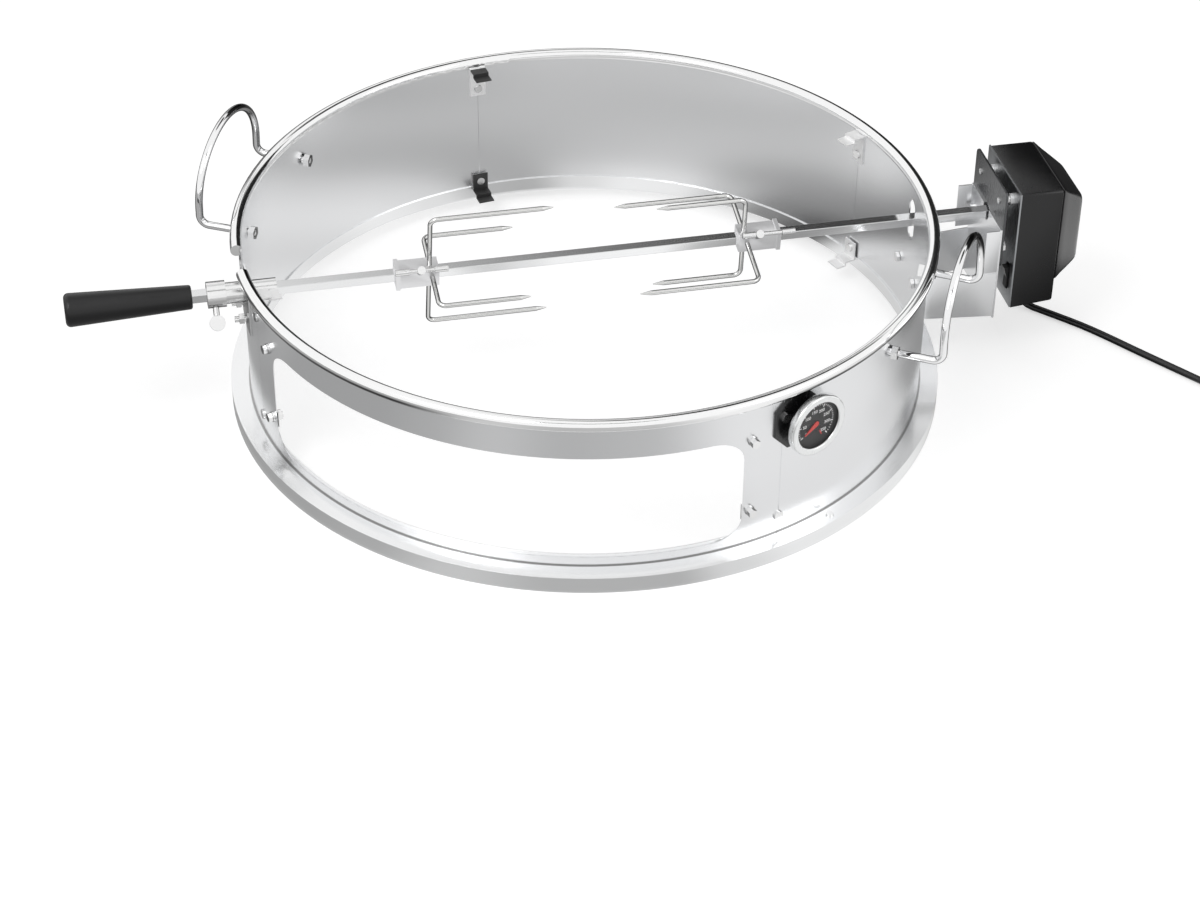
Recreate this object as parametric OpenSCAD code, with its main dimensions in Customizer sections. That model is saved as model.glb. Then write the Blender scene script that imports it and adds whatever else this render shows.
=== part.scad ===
// Electric rotisserie for a round kettle grill: spit, ring and gear motor
// +X points to the motor, -Y to the door, +Z up; the origin is on the ring's axis at the skirt's bottom

/* [Ring] */
// Outer radius of the ring wall
wall_r = 280; // [260:1:300]
// Thickness of the ring's sheet
wall_t = 1.2; // [0.8:0.1:1.6]
// Height of the skirt that slips over the kettle
skirt_h = 14; // [10:1:18]
// Width of the ledge outside the wall
ledge_w = 16; // [12:1:24]
// Height of the upstand inside the wall's foot
upstand_h = 10; // [6:1:12]
// Height of the wall above the ledge
wall_h = 134; // [132:1:150]
// Radius of the rolled bead on the wall
bead_r = 5; // [4:0.5:6]
// How far the bead's centre stands outside the wall
bead_out = 3; // [2.5:0.5:3.5]
// Thickness of the bead's tube
bead_t = 1.2; // [1.2:0.1:2]
// Width of the gap in the bead where the spit is laid in
bead_gap = 35; // [34:1:40]
// How far the gap's middle lies in front of the spit
bead_gap_front = 6.5; // [4:0.5:7]

/* [Door] */
// Direction of the door's middle
door_az = -119.6; // [-122:0.1:-117]
// Half of the angle that the door takes
door_half = 43.3; // [38:0.1:44]
// Height of the door's sill above the ledge
door_sill = 7; // [4:1:12]
// Height of the door opening
door_h = 94; // [70:1:96]
// Radius of the door's corners
door_corner = 20; // [10:1:30]
// Angle from the door's edge to a cover stud
stud_past = 1.5; // [1.4:0.1:3]
// Height of the lower cover stud above the sill
stud_low = 22.9; // [18:0.1:26]
// Distance between the lower and the upper cover stud
stud_pitch = 65.8; // [50:0.2:66]
// Radius of a cover stud's head
stud_head_r = 3.8; // [3.5:0.1:5]

/* [Side handles] */
// Radius of the handle wire
handle_r = 3.15; // [2.5:0.05:3.5]
// Height of the handle legs above the ledge
handle_leg_z = 108.6; // [104:0.2:110]
// Half of the distance between the handle legs
handle_half = 60.9; // [56:0.1:64]
// How far the handle stands out from the wall's foremost point
handle_reach = 35.2; // [30:0.2:45]
// Height of the handle's arch above its straight part
arch_h = 51; // [40:1:60]
// Length of the upright straight part of the handle
arch_foot = 16.5; // [14:0.5:24]
// How far the handle leans in at its top
handle_lean = 2; // [0:0.5:8]

/* [Thermometer] */
// Direction of the thermometer
gauge_az = -64.8; // [-65.5:0.1:-64]
// Height of the thermometer above the ledge
gauge_up = 100; // [97:1:101]
// Radius of the thermometer's bezel
bezel_r = 26; // [25.5:0.5:27]
// Radius of the window in the bezel
window_r = 20; // [18:0.5:21]
// Length of the probe inside the wall
probe_len = 34; // [20:1:60]

/* [Spit] */
// Height of the spit's axis above the ledge
spit_up = 102; // [100:1:104]
// Turn of the spit about its axis as photographed
spit_roll = 8; // [-10:1:10]
// Width of the square rod across its flats
rod_w = 8; // [7:0.1:9.5]
// Length of the black grip
grip_len = 101; // [80:1:130]
// Radius of the grip at its outer end
grip_big_r = 13.7; // [12:0.1:16]
// Radius of the grip at its inner end
grip_small_r = 9.9; // [9:0.1:12]
// Distance from the wall to the locking collar
collar_off = 15; // [10:1:25]
// Length of the locking collar
collar_len = 15; // [12:1:20]
// Radius of the locking collar
collar_r = 10.8; // [10:0.1:12]
// Length of the bushing tube
bushing_len = 41; // [36:1:60]
// Radius of the bushing tube
bushing_r = 8.7; // [7.6:0.1:9]

/* [Forks] */
// Where the left fork's hub ends on the spit
left_hub_x = -122.5; // [-145:0.5:-110]
// Where the right fork's hub ends on the spit
right_hub_x = 128; // [115:0.5:140]
// Width of a fork's hub block
hub_w = 16.5; // [14:0.5:20]
// Length of a fork's hub block
hub_len = 32; // [28:1:36]
// Thickness of the plate behind the hub
hub_plate_t = 3.5; // [2:0.5:5]
// Radius of the prong wire
prong_r = 2; // [1.6:0.1:2.2]
// Half of the distance between the left fork's long prongs
left_long_half = 60.9; // [50:0.1:64]
// Half of the distance between the right fork's long prongs
right_long_half = 51.8; // [46:0.1:60]
// Length of the long prongs
long_len = 100; // [80:1:110]
// Half of the distance between the left fork's short prongs
left_short_half = 41.8; // [32:0.1:46]
// Half of the distance between the right fork's short prongs
right_short_half = 39.2; // [32:0.1:46]
// Length of the short prongs
short_len = 75; // [60:1:90]

/* [Motor bracket] */
// Distance from the wall to the bracket's web
web_off = 64; // [56:1:80]
// Thickness of the bracket's sheet
bracket_t = 1.5; // [1:0.1:2]
// Half width of the bracket's web
web_half = 39; // [36:0.5:44]
// Height of the bracket's web
web_h = 87; // [80:1:87]
// Height of the bracket's arms
arm_h = 43; // [30:1:44]
// Thickness of the hanger plate
hanger_t = 2; // [1.5:0.1:3]
// Clear length of the studs between hanger plate and motor
stud_len = 9.5; // [8:0.5:14]

/* [Motor] */
// Half width of the motor housing
motor_half = 42; // [41:0.5:46]
// Height of the motor housing
motor_h = 110; // [108:0.5:114]
// Depth of the motor housing
motor_depth = 36.5; // [36:0.5:42]
// Depth of the dome behind the housing
dome_depth = 24; // [22:1:30]
// Wall of the housing and the dome
shell_t = 2; // [1.5:0.1:2.5]
// Module of the gear teeth
gear_m = 1; // [1:0.05:1.05]
// Travel of the switch rocker in degrees
rocker_swing = 14; // [8:1:16]

/* [Cord] */
// Diameter of the cord
cord_d = 6; // [5:0.5:6]
// Number of loops in the coil
cord_loops = 6; // [4:2:8]
// Radius of the coil's outer loop
coil_r = 44; // [42:1:50]
// Distance between neighbouring loops
coil_pitch = 6.6; // [6.6:0.1:8]

/* [Clearances] */
// Gap between pieces that are seated together
seat_gap = 0.05; // [0.03:0.01:0.1]
// Gap round a turning journal
run_gap = 0.06; // [0.04:0.01:0.08]
// Gap between the square rod and what slides on it
slide_gap = 0.15; // [0.1:0.05:0.25]
// Gap between pieces that move past each other
move_gap = 0.3; // [0.2:0.05:0.5]

/* [Hidden] */

// Ring
wall_in = wall_r - wall_t;
skirt_r = wall_r + ledge_w;
rim_z = skirt_h + wall_h;
bead_c = wall_r + bead_out;
bead_gap_half = bead_gap / 2 / wall_r * 180 / PI;
bead_gap_turn = bead_gap_front / wall_r * 180 / PI;
bead_end = bead_t / wall_r * 180 / PI;
ring_fn = 240;
pin_fn = 32;
// Directions of the four seams between the wall panels
seams = [20.7, 98.5, 190.5, 290.5];
seam_gap = 0.3;
seam_half = seam_gap / 2 / wall_r * 180 / PI;
tab_w = 14;
tab_len = 19;
tab_step = 3;
// A tab's flat leg touches the curved wall at its edges; the lower tabs stand inside the upstand too
tab_sag = wall_in - sqrt(pow(wall_in, 2) - pow(tab_w / 2, 2));
high_tab_r = wall_in - tab_sag - seat_gap;
low_tab_r = high_tab_r - wall_t - 2 * seat_gap;
rivet_r = 2;
rivet_head_r = 4;
rivet_head_h = 1.6;
// How far a shaft runs into its head
head_in = 0.8;
rivet_low_z = skirt_h + 16;
rivet_high_z = skirt_h + 110.5;
// Shelves of the tabs, the upper one close under the bead
low_shelf_z = skirt_h + 6;
high_shelf_z = rim_z - bead_r + 0.4;
// The seam beside the thermometer has the thermometer's screw in its upper hole
gauge_seam = 3;
ledge_rivet_az = -60;

// Door and its studs
sill_z = skirt_h + door_sill;
lintel_z = sill_z + door_h;
stud_azs = [door_az - door_half - stud_past, door_az + door_half + stud_past];
stud_zs = [sill_z + stud_low, sill_z + stud_low + stud_pitch];
stud_r = 2.5;
stud_out = 1;
stud_head_h = 4;
stud_plate_w = 14;
stud_plate_t = 1.2;
stud_plate_in = 0.4;
stud_nut_h = 4;
stud_nut_af = 8;

// Side handles
handle_azs = [151.1, -31.2];
leg_z = skirt_h + handle_leg_z;
leg_in = 5;
handle_bend = 8;
handle_x = wall_r + handle_reach;
nut_af = 10;
nut_h = 5;
// Where the parallel legs pass the wall's inner and outer face; the nuts stay clear of its curve
leg_wall_xs = [sqrt(pow(wall_in, 2) - pow(handle_half, 2)), sqrt(pow(wall_r, 2) - pow(handle_half, 2))];
nut_clear = nut_af / sqrt(3) * handle_half / leg_wall_xs[0] + 0.15;

// Thermometer, in a frame whose +X runs out through the dial
gauge_z = skirt_h + gauge_up;
pod_out = 8;
pod_t = 2.5;
// Corners of the bracket's plate, seen from outside with the dial's axis at zero
pod_y = [-31, 24];
pod_tall = 46;
pod_top_gap = 2;
pod_top = rim_z - bead_r - pod_top_gap - gauge_z;
pod_h = [pod_top - pod_tall, pod_top];
pod_chamfer = 12;
pod_big_chamfer = 25;
bezel_x = wall_r + pod_out;
bezel_t = 7;
lip_t = 1.6;
lens_t = 1.3;
case_wall = 0.8;
case_r = bezel_r - 2.4;
neck_r = bezel_r - 9;
case_x = wall_r + 0.5;
case_flange_x = bezel_x + case_wall + seat_gap;
lens_x = bezel_x + bezel_t - lip_t - lens_t - seat_gap;
dial_x = case_flange_x + case_wall + seat_gap;
dial_t = 0.5;
movement_r = 6;
needle_x = dial_x + dial_t + move_gap;
needle_t = 0.6;
needle_len = 13;
needle_hub_r = 2.3;
arbor_r = 0.8;
needle_turn = 122;
probe_r = 3;
probe_x = wall_in - probe_len;
gauge_screw_az = seams[gauge_seam] - 360;
gauge_screw_x = wall_r + pod_t + 2 * seat_gap;

// Spit
spit_z = skirt_h + spit_up;
rod_diag_r = rod_w * sqrt(2) / 2;
sq_hole = rod_w + 2 * slide_gap;
collar_x = -wall_r - collar_off - collar_len;
bushing_x = -wall_r - collar_off;
grip_in_x = collar_x - 12;
grip_out_x = grip_in_x - grip_len;
grip_cap = 13;
rod_x0 = grip_out_x + grip_cap;
web_x = wall_r + web_off;
hanger_x = web_x + bracket_t;
stud_x = hanger_x + hanger_t;
face_x = stud_x + stud_len;
face_t = 1.5;
house_x = face_x + face_t;
socket_r = 9;
socket_lead = 0.6;
socket_depth = 16;
socket_x = face_x - socket_lead;
rod_x1 = face_x + 15;
collar_screw_x = collar_x + 6;
collar_screw_drop = 23;
collar_disc_r = 6.5;
collar_disc_t = 3;
// The clamping screws stand on the rod's edges, halfway between its faces
edge_turn = 45;
m5_r = 2.5;

// Openings for the spit in the wall
notch_r = bushing_r + 0.5;
cradle_r = bushing_r + 0.08;
support_half = 6.5;
support_zs = [spit_z - 23, spit_z + 24];
support_t = 1.45;
support_bolt_out = 10;
support_bolt_y = 12;
support_bolt_z = spit_z - 18;
exit_half = 7.5;
exit_zs = [spit_z - 19, spit_z + 18.5];

// Forks, each in a frame whose +X runs along its prongs from the hub's front face
prong_bend = 6;
prong_tip = 9;
long_back = 7.2;
short_back = 5.5;
// Directions in which the long and the short pair stand off the hub
left_turns = [7.5, -87.5];
right_turns = [86.3, 1.9];
hub_corner = hub_w * sqrt(2) / 2;
screw_stem_r = 3;
screw_stem_in = rod_diag_r + move_gap;
screw_neck = 3;
screw_head_r = 3.4;
screw_head_h = 6;
screw_bar_r = 1.75;
screw_bar_big_r = 2.6;
screw_bar_big_len = 11;
screw_back = hub_len / 2 - 0.5;
left_bar = [-21, 22];
right_bar = [-14.5, 30];

// Motor bracket
web_z0 = skirt_h + 20;
web_z1 = web_z0 + web_h;
arm_zs = [web_z0 + 1, web_z0 + 1 + arm_h];
arm_wall_y = 29;
foot_deg = 3.6;
foot_az0 = asin(arm_wall_y / wall_r);
// The foot is folded in behind the arm and ends inside the arm's thickness
foot_az1 = asin((arm_wall_y + 0.5 + 0.8 * bracket_t) / wall_r);
foot_bolt_az = foot_az0 - 1.5;
foot_bolt_z = arm_zs[1] - 12;
flange_depth = 12;
flange_h = 40;
web_slot_r = rod_diag_r + 1.3;
hanger_half = web_half + 0.5;
hanger_zs = [spit_z - 32, spit_z + 40];
hanger_screw_y = 30;
hanger_screw_z = spit_z - 16;
hanger_corner = 5;
motor_stud_y = 24;
motor_stud_z = spit_z + 25;
motor_stud_collar_r = 5;
motor_stud_neck_r = 3.2;
motor_stud_collar_t = 3;

// Motor
motor_z0 = spit_z - 71;
motor_z1 = motor_z0 + motor_h;
house_x1 = house_x + motor_depth;
dome_zs = [motor_z0 + 23, motor_z1];
dome_end_half = 27;
dome_end_zs = [spit_z - 41, spit_z + 22.5];
port_zs = [motor_z0 + 27.5, motor_z1 - 4];
port_half = motor_half - 4;
cover_ear_y = 24;
cover_ear_z = motor_z0 + 17.5;
switch_y = -30;
switch_drop = 46;
switch_z = spit_z - switch_drop;
switch_half = [4.5, 13];
rocker_half = [3.5, 10];
rocker_pivot_x = house_x + 3;
rocker_pin_r = 1;
rocker_rest = -rocker_swing / 2;

// Gear train: 48 teeth on the drive, 12 and 36 on the idler, 12 on the rotor
teeth = [48, 12, 36, 12];
first_c = gear_m * (teeth[0] + teeth[1]) / 2;
second_c = gear_m * (teeth[2] + teeth[3]) / 2;
first_dir = -53.13;
idler_at = [first_c * cos(first_dir), spit_z + first_c * sin(first_dir)];
rotor_at = [idler_at[0] - second_c, idler_at[1]];
gear_off = 15.5;
gear_x = house_x + gear_off;
gear_t = 5;
gear_neck_r = 7;
big_gear_x = gear_x + gear_t + 1.5;
big_gear_t = 3.5;
gear_plate_x = big_gear_x + big_gear_t + 1;
gear_plate_t = 1.5;
gear_plate_half = motor_half - 5;
journal_r = 4;
idler_pin_r = 2;
pillar_r = 2.5;
pillar_y = 34;
pillar_zs = [motor_z0 + 6.1, motor_z1 - 8];
rotor_shaft_r = 1.5;
magnet_r = 11.5;
magnet_x = gear_plate_x + gear_plate_t + 2.5;
magnet_t = 14;
core_x = gear_plate_x + gear_plate_t + 3.5;
core_t = 12;
core_half = 20;
core_below = 16;
core_above = 40;
core_zs = [rotor_at[1] - core_below, rotor_at[1] + core_above];
core_bore_r = magnet_r + 0.5;
core_window = 12;
limb_h = 13;
coil_wall = 2.8;

// Cord
cord_r = cord_d / 2;
relief_x = house_x + 27.5;
relief_y = 30;
relief_len = 17.5;
relief_r = 5;
cord_floor_z = cord_r + 0.05;
cord_coil_z = cord_r + 1.2;
cord_sides = 10;
cord_drop_r = 24;
// The cord's route along the floor, in the order in which it leaves the motor
cord_floor_points = [[408, 7], [433, -21], [451, -45], [469, -71], [504, -120]];
coil_start = [542, -176];
coil_heading = -56;
coil_dir = [cos(coil_heading), sin(coil_heading)];
coil_side = [-sin(coil_heading), cos(coil_heading)];
coil_centre = coil_start + cord_d * coil_dir + coil_r * coil_side;
coil_rings = 24;
layer_rise = coil_pitch;
tail_len = 30;
plug_at = coil_start + (cord_d + tail_len) * coil_dir;
plug_z = cord_coil_z + layer_rise;
plug_w = 27;
plug_h = 18;
plug_len = 32;
plug_neck = 12;
blade = [17, 1.5, 6.3];
blade_y = 6.35;
earth_r = 2.4;
earth_len = 20;
tie_w = 6;
tie_t = 0.8;
tie_az = 40;
loops_each_way = cord_loops / 2;
coil_in_r = coil_r - coil_pitch * loops_each_way;

// Vector and tube functions
function unit(v) = v / norm(v);
function tangents(p) = [for (i = [0:len(p) - 1]) unit(p[min(i + 1, len(p) - 1)] - p[max(i - 1, 0)])];
function square_to(v, t) = unit(v - (v * t) * t);
function carry(t, v, i) = i == len(t) ? []
  : let (n = square_to(v, t[i])) concat([n], carry(t, n, i + 1));
function tube_faces(rings, sides) = concat(
  [for (k = [1:sides - 2]) [0, k, k + 1]],
  [for (i = [0:rings - 2], k = [0:sides - 1])
    [i * sides + k, (i + 1) * sides + (k + 1) % sides, i * sides + (k + 1) % sides]],
  [for (i = [0:rings - 2], k = [0:sides - 1])
    [i * sides + k, (i + 1) * sides + k, (i + 1) * sides + (k + 1) % sides]],
  [for (k = [1:sides - 2]) [(rings - 1) * sides, (rings - 1) * sides + k + 1, (rings - 1) * sides + k]]);
// Points of a round bend of radius r at corner b between a and c
function bend(a, b, c, r, steps) =
  let (u = unit(a - b), v = unit(c - b), half = acos(u * v) / 2, centre = b + unit(u + v) * r / sin(half),
    out = unit(b + u * r / tan(half) - centre))
  [for (s = [0:steps]) let (w = (180 - 2 * half) * s / steps) centre + r * (out * cos(w) - u * sin(w))];
// A smooth run of points through hand-chosen points, from the first to the last
function through(p, steps) = concat([for (i = [0:len(p) - 2], s = [0:steps - 1])
  let (a = p[max(i - 1, 0)], b = p[i], c = p[i + 1], d = p[min(i + 2, len(p) - 1)], w = s / steps)
  0.5 * (2 * b + (c - a) * w + (2 * a - 5 * b + 4 * c - d) * w * w + (3 * b - a - 3 * c + d) * w * w * w)],
  [p[len(p) - 1]]);
function run_length(p) = len(p) < 2 ? 0 : [for (i = 1, s = norm(p[1] - p[0]); i < len(p);
  i = i + 1, s = s + norm(p[min(i, len(p) - 1)] - p[i - 1])) s][len(p) - 2];

module tube(p, r, sides, first) {
  t = tangents(p);
  n = carry(t, first, 0);
  polyhedron(points = [for (i = [0:len(p) - 1], k = [0:sides - 1])
    p[i] + r * (cos(360 * k / sides) * n[i] + sin(360 * k / sides) * cross(t[i], n[i]))],
    faces = tube_faces(len(p), sides));
}

// Shapes that several pieces share
module band(r0, r1, z0, z1, a0, a1) {
  rotate([0, 0, a0]) rotate_extrude(angle = a1 - a0, $fn = ring_fn)
    translate([r0, z0]) square([r1 - r0, z1 - z0]);
}
module x_rod(r, x0, x1, fn = pin_fn) {
  translate([x0, 0, 0]) rotate([0, 90, 0]) cylinder(r = r, h = x1 - x0, $fn = fn);
}
module out_rod(az, z, r, x0, x1, fn = pin_fn) {
  rotate([0, 0, az]) translate([0, 0, z]) x_rod(r, x0, x1, fn);
}
module out_nut(az, z, af, bore, x0, h) {
  rotate([0, 0, az]) translate([0, 0, z]) difference() {
    x_rod(af / sqrt(3), x0, x0 + h, 6);
    x_rod(bore, x0 - 1, x0 + h + 1);
  }
}
module x_block(x0, x1, y0, y1, z0, z1) {
  translate([x0, y0, z0]) cube([x1 - x0, y1 - y0, z1 - z0]);
}
// Turns a flat shape drawn in Y and Z into one that is extruded along +X
module along_x(x, y, z) {
  translate([x, y, z]) rotate([90, 0, 90]) children();
}
module at_spit() {
  translate([0, 0, spit_z]) rotate([spit_roll, 0, 0]) children();
}
module at_gauge() {
  rotate([0, 0, gauge_az]) translate([0, 0, gauge_z]) children();
}
module at_plug() {
  translate([plug_at[0], plug_at[1], 0]) rotate([0, 0, coil_heading]) children();
}

// Holes through the wall panels
module wall_hole(az, z, r) {
  out_rod(az, z, r, wall_in - 4, wall_r + 4);
}
module stud_holes() {
  for (az = stud_azs, z = stud_zs) wall_hole(az, z, stud_r + seat_gap);
}
module seam_holes(i) {
  wall_hole(seams[i], rivet_low_z, rivet_r + seat_gap);
  wall_hole(seams[i], rivet_high_z, rivet_r + seat_gap);
}
module handle_holes(az) {
  rotate([0, 0, az]) for (side = [-1, 1])
    translate([0, side * handle_half, leg_z])
      x_rod(handle_r + seat_gap, leg_wall_xs[0] - 4, leg_wall_xs[1] + 4);
}
module support_holes() {
  for (side = [-1, 1])
    translate([0, side * support_bolt_y, support_bolt_z]) x_rod(m5_r + seat_gap, -wall_r - 8, -wall_in + 8);
}
module foot_hole(side) {
  wall_hole(side * foot_bolt_az, foot_bolt_z, m5_r + seat_gap);
}
module door_cut() {
  half = wall_r * sin(door_half);
  rotate([0, 0, door_az]) along_x(wall_r * cos(door_half) - 20, 0, 0) linear_extrude(wall_r)
    polygon([for (q = [0:3], w = [0:11.25:90])
      let (side = q == 0 || q == 3 ? 1 : -1, z = q < 2 ? lintel_z - door_corner : sill_z + door_corner)
      [side * (half - door_corner) + door_corner * cos(90 * q + w), z + door_corner * sin(90 * q + w)]]);
}
module plain_panel(i, a0, a1) {
  band(wall_in, wall_r, skirt_h, rim_z, a0 + seam_half, a1 - seam_half);
}

// Ring
module front_wall_panel() {
  color("silver") difference() {
    plain_panel(2, seams[2], seams[3]);
    door_cut();
    stud_holes();
    seam_holes(2);
    seam_holes(3);
  }
}
module right_wall_panel() {
  color("silver") difference() {
    plain_panel(3, seams[3], seams[0] + 360);
    seam_holes(3);
    seam_holes(0);
    handle_holes(handle_azs[1]);
    wall_hole(gauge_az, gauge_z, probe_r + seat_gap);
    for (side = [-1, 1]) foot_hole(side);
    x_block(wall_in - 4, wall_r + 4, -exit_half, exit_half, exit_zs[0] + exit_half, exit_zs[1] - exit_half);
    for (z = [exit_zs[0] + exit_half, exit_zs[1] - exit_half])
      translate([0, 0, z]) x_rod(exit_half, wall_in - 4, wall_r + 4, 48);
  }
}
module rear_wall_panel() {
  color("silver") difference() {
    plain_panel(0, seams[0], seams[1]);
    seam_holes(0);
    seam_holes(1);
  }
}
module left_wall_panel() {
  color("silver") difference() {
    plain_panel(1, seams[1], seams[2]);
    seam_holes(1);
    seam_holes(2);
    handle_holes(handle_azs[0]);
    support_holes();
    x_block(-wall_r - 4, -wall_in + 4, -notch_r, notch_r, spit_z, rim_z + 1);
    translate([0, 0, spit_z]) x_rod(notch_r, -wall_r - 4, -wall_in + 4, 64);
  }
}
module bead_ring(r, gap_half) {
  rotate([0, 0, 180 + gap_half + bead_gap_turn]) rotate_extrude(angle = 360 - 2 * gap_half, $fn = ring_fn)
    translate([bead_c, rim_z]) circle(r = r, $fn = 48);
}
module top_rim() {
  color("whitesmoke") difference() {
    bead_ring(bead_r, bead_gap_half);
    bead_ring(bead_r - bead_t, bead_gap_half + bead_end);
    rotate_extrude($fn = ring_fn) translate([wall_in - seat_gap, rim_z - 2 * bead_r])
      square([wall_t + 2 * seat_gap, 2 * bead_r + 2 * seat_gap]);
  }
}
module base_flange() {
  lip_r = wall_in - seat_gap;
  color("lightgray") difference() {
    rotate_extrude($fn = ring_fn) polygon([[lip_r - wall_t, skirt_h - wall_t], [skirt_r - wall_t, skirt_h - wall_t],
      [skirt_r - wall_t, 0], [skirt_r, 0], [skirt_r, skirt_h], [lip_r, skirt_h],
      [lip_r, skirt_h + upstand_h], [lip_r - wall_t, skirt_h + upstand_h]]);
    rotate([0, 0, ledge_rivet_az]) translate([wall_r + ledge_w / 2, 0, 0])
      cylinder(r = rivet_r + seat_gap, h = skirt_h + 1, $fn = pin_fn);
  }
}
// A tab bolted on at the seam; its shelf, where it has one, has a step halfway
module seam_tab(i, bolt_z, back_r, shelved, shelf_z) {
  mid = bolt_z - tab_w / 2;
  z0 = shelved ? min(mid, shelf_z) : mid;
  z1 = shelved ? max(mid + tab_w, shelf_z + wall_t) : mid + tab_w;
  rotate([0, 0, seams[i]]) difference() {
    union() {
      x_block(back_r - wall_t, back_r, -tab_w / 2, tab_w / 2, z0, z1);
      if (shelved) {
        x_block(back_r - tab_len / 2, back_r, -tab_w / 2, tab_w / 2, shelf_z, shelf_z + wall_t);
        x_block(back_r - tab_len / 2 - wall_t, back_r - tab_len / 2 + 0.1, -tab_w / 2, tab_w / 2,
          shelf_z - tab_step, shelf_z + wall_t);
        x_block(back_r - tab_len, back_r - tab_len / 2, -tab_w / 2, tab_w / 2,
          shelf_z - tab_step, shelf_z - tab_step + wall_t);
      }
    }
    translate([0, 0, bolt_z]) x_rod(rivet_r + seat_gap, wall_in - 8, wall_r);
  }
}
module seam_tabs() {
  color("gray") for (i = [0:3]) {
    seam_tab(i, rivet_low_z, low_tab_r, i < 2, low_shelf_z);
    seam_tab(i, rivet_high_z, high_tab_r, i < 3, high_shelf_z);
  }
}
module wall_rivet(az, z, outer, tab_r) {
  inner = tab_r - wall_t - seat_gap;
  out_rod(az, z, rivet_r, inner - head_in, outer + head_in);
  out_rod(az, z, rivet_head_r, outer, outer + rivet_head_h);
  out_rod(az, z, rivet_head_r - 0.5, inner - rivet_head_h, inner);
}
module wall_rivets() {
  color("gainsboro") {
    for (i = [0:3]) wall_rivet(seams[i], rivet_low_z, wall_r + seat_gap, low_tab_r);
    for (i = [0:2]) wall_rivet(seams[i], rivet_high_z, wall_r + seat_gap, high_tab_r);
    rotate([0, 0, ledge_rivet_az]) translate([wall_r + ledge_w / 2, 0, 0]) {
      translate([0, 0, skirt_h - wall_t + seat_gap]) cylinder(r = rivet_r, h = wall_t + head_in / 2, $fn = pin_fn);
      translate([0, 0, skirt_h + seat_gap]) cylinder(r = rivet_head_r - 1, h = 1, $fn = pin_fn);
    }
  }
}
module cover_studs() {
  color("silver") for (az = stud_azs, z = stud_zs) {
    out_rod(az, z, stud_r, wall_in - stud_plate_in - stud_plate_t - stud_nut_h - 1, wall_r + stud_out + head_in);
    out_rod(az, z, stud_head_r, wall_r + stud_out, wall_r + stud_out + stud_head_h, 6);
    out_rod(az, z, stud_head_r + 0.4, wall_r + seat_gap, wall_r + stud_out + head_in / 2);
  }
}
module stud_plates() {
  x1 = wall_in - stud_plate_in;
  color("silver") for (az = stud_azs, z = stud_zs) {
    rotate([0, 0, az]) translate([0, 0, z]) difference() {
      union() {
        x_block(x1 - stud_plate_t, x1, -stud_plate_w / 2, stud_plate_w / 2, -stud_plate_w / 2, stud_plate_w / 2);
        x_rod(stud_nut_af / sqrt(3), x1 - stud_plate_t - stud_nut_h, x1 - stud_plate_t / 2, 6);
      }
      x_rod(stud_r + seat_gap, x1 - stud_plate_t - stud_nut_h - 1, x1 + 1);
    }
  }
}

// Half of a handle's centre line, from the inner end of its leg to the top of its arch
function lean_x(z) = handle_x - handle_lean * (z - leg_z) / (arch_foot + arch_h);
function handle_side(side) =
  let (a = [leg_wall_xs[0] - leg_in, side * handle_half, leg_z],
    b = [handle_x, side * handle_half, leg_z],
    c = [lean_x(leg_z + arch_foot), side * handle_half, leg_z + arch_foot])
  concat([a], bend(a, b, c, handle_bend, 5), [for (w = [0:7.5:82.5])
    let (z = leg_z + arch_foot + arch_h * sin(w)) [lean_x(z), side * handle_half * cos(w), z]]);
module side_handle(az) {
  left = handle_side(-1);
  right = handle_side(1);
  top = [[lean_x(leg_z + arch_foot + arch_h), 0, leg_z + arch_foot + arch_h]];
  back = [for (i = [len(right) - 1:-1:0]) right[i]];
  rotate([0, 0, az]) tube(concat(left, top, back), handle_r, 12, [0, 0, 1]);
}
module left_side_handle() {
  color("whitesmoke") side_handle(handle_azs[0]);
}
module right_side_handle() {
  color("whitesmoke") side_handle(handle_azs[1]);
}
module handle_nuts() {
  color("silver") for (az = handle_azs, side = [-1, 1])
    rotate([0, 0, az]) translate([0, side * handle_half, 0]) {
      out_nut(0, leg_z, nut_af, handle_r + seat_gap, leg_wall_xs[1] + nut_clear, nut_h);
      out_nut(0, leg_z, nut_af, handle_r + seat_gap, leg_wall_xs[0] - nut_clear - nut_h, nut_h);
    }
}

// Thermometer
module thermometer_bracket() {
  color("black") difference() {
    intersection() {
      band(wall_r + seat_gap, wall_r + seat_gap + pod_t, gauge_z + pod_h[0], gauge_z + pod_h[1],
        gauge_az - 10, gauge_az + 10);
      at_gauge() along_x(wall_r - 20, 0, 0) linear_extrude(40) polygon([
        [pod_y[0] + pod_chamfer, pod_h[0] - 1], [pod_y[1] - pod_chamfer, pod_h[0] - 1],
        [pod_y[1], pod_h[0] + pod_chamfer], [pod_y[1], pod_h[1] - pod_big_chamfer],
        [pod_y[1] - pod_big_chamfer, pod_h[1]], [pod_y[0] + pod_chamfer, pod_h[1]],
        [pod_y[0], pod_h[1] - pod_chamfer], [pod_y[0], pod_h[0] + pod_chamfer]]);
    }
    at_gauge() x_rod(neck_r + seat_gap, wall_r - 10, bezel_x, 64);
    out_rod(gauge_screw_az, rivet_high_z, rivet_r + seat_gap, wall_r - 4, bezel_x);
  }
}
module thermometer_case() {
  color("dimgray") at_gauge() difference() {
    union() {
      x_rod(neck_r, case_x, case_flange_x + case_wall, 64);
      x_rod(case_r, case_flange_x, case_flange_x + case_wall, 64);
    }
    difference() {
      x_rod(neck_r - case_wall, case_x + case_wall, bezel_x + bezel_t, 64);
      x_rod(movement_r, case_x, dial_x - seat_gap, 48);
    }
    x_rod(arbor_r + run_gap, case_x + 1.5, bezel_x + bezel_t);
  }
}
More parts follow.
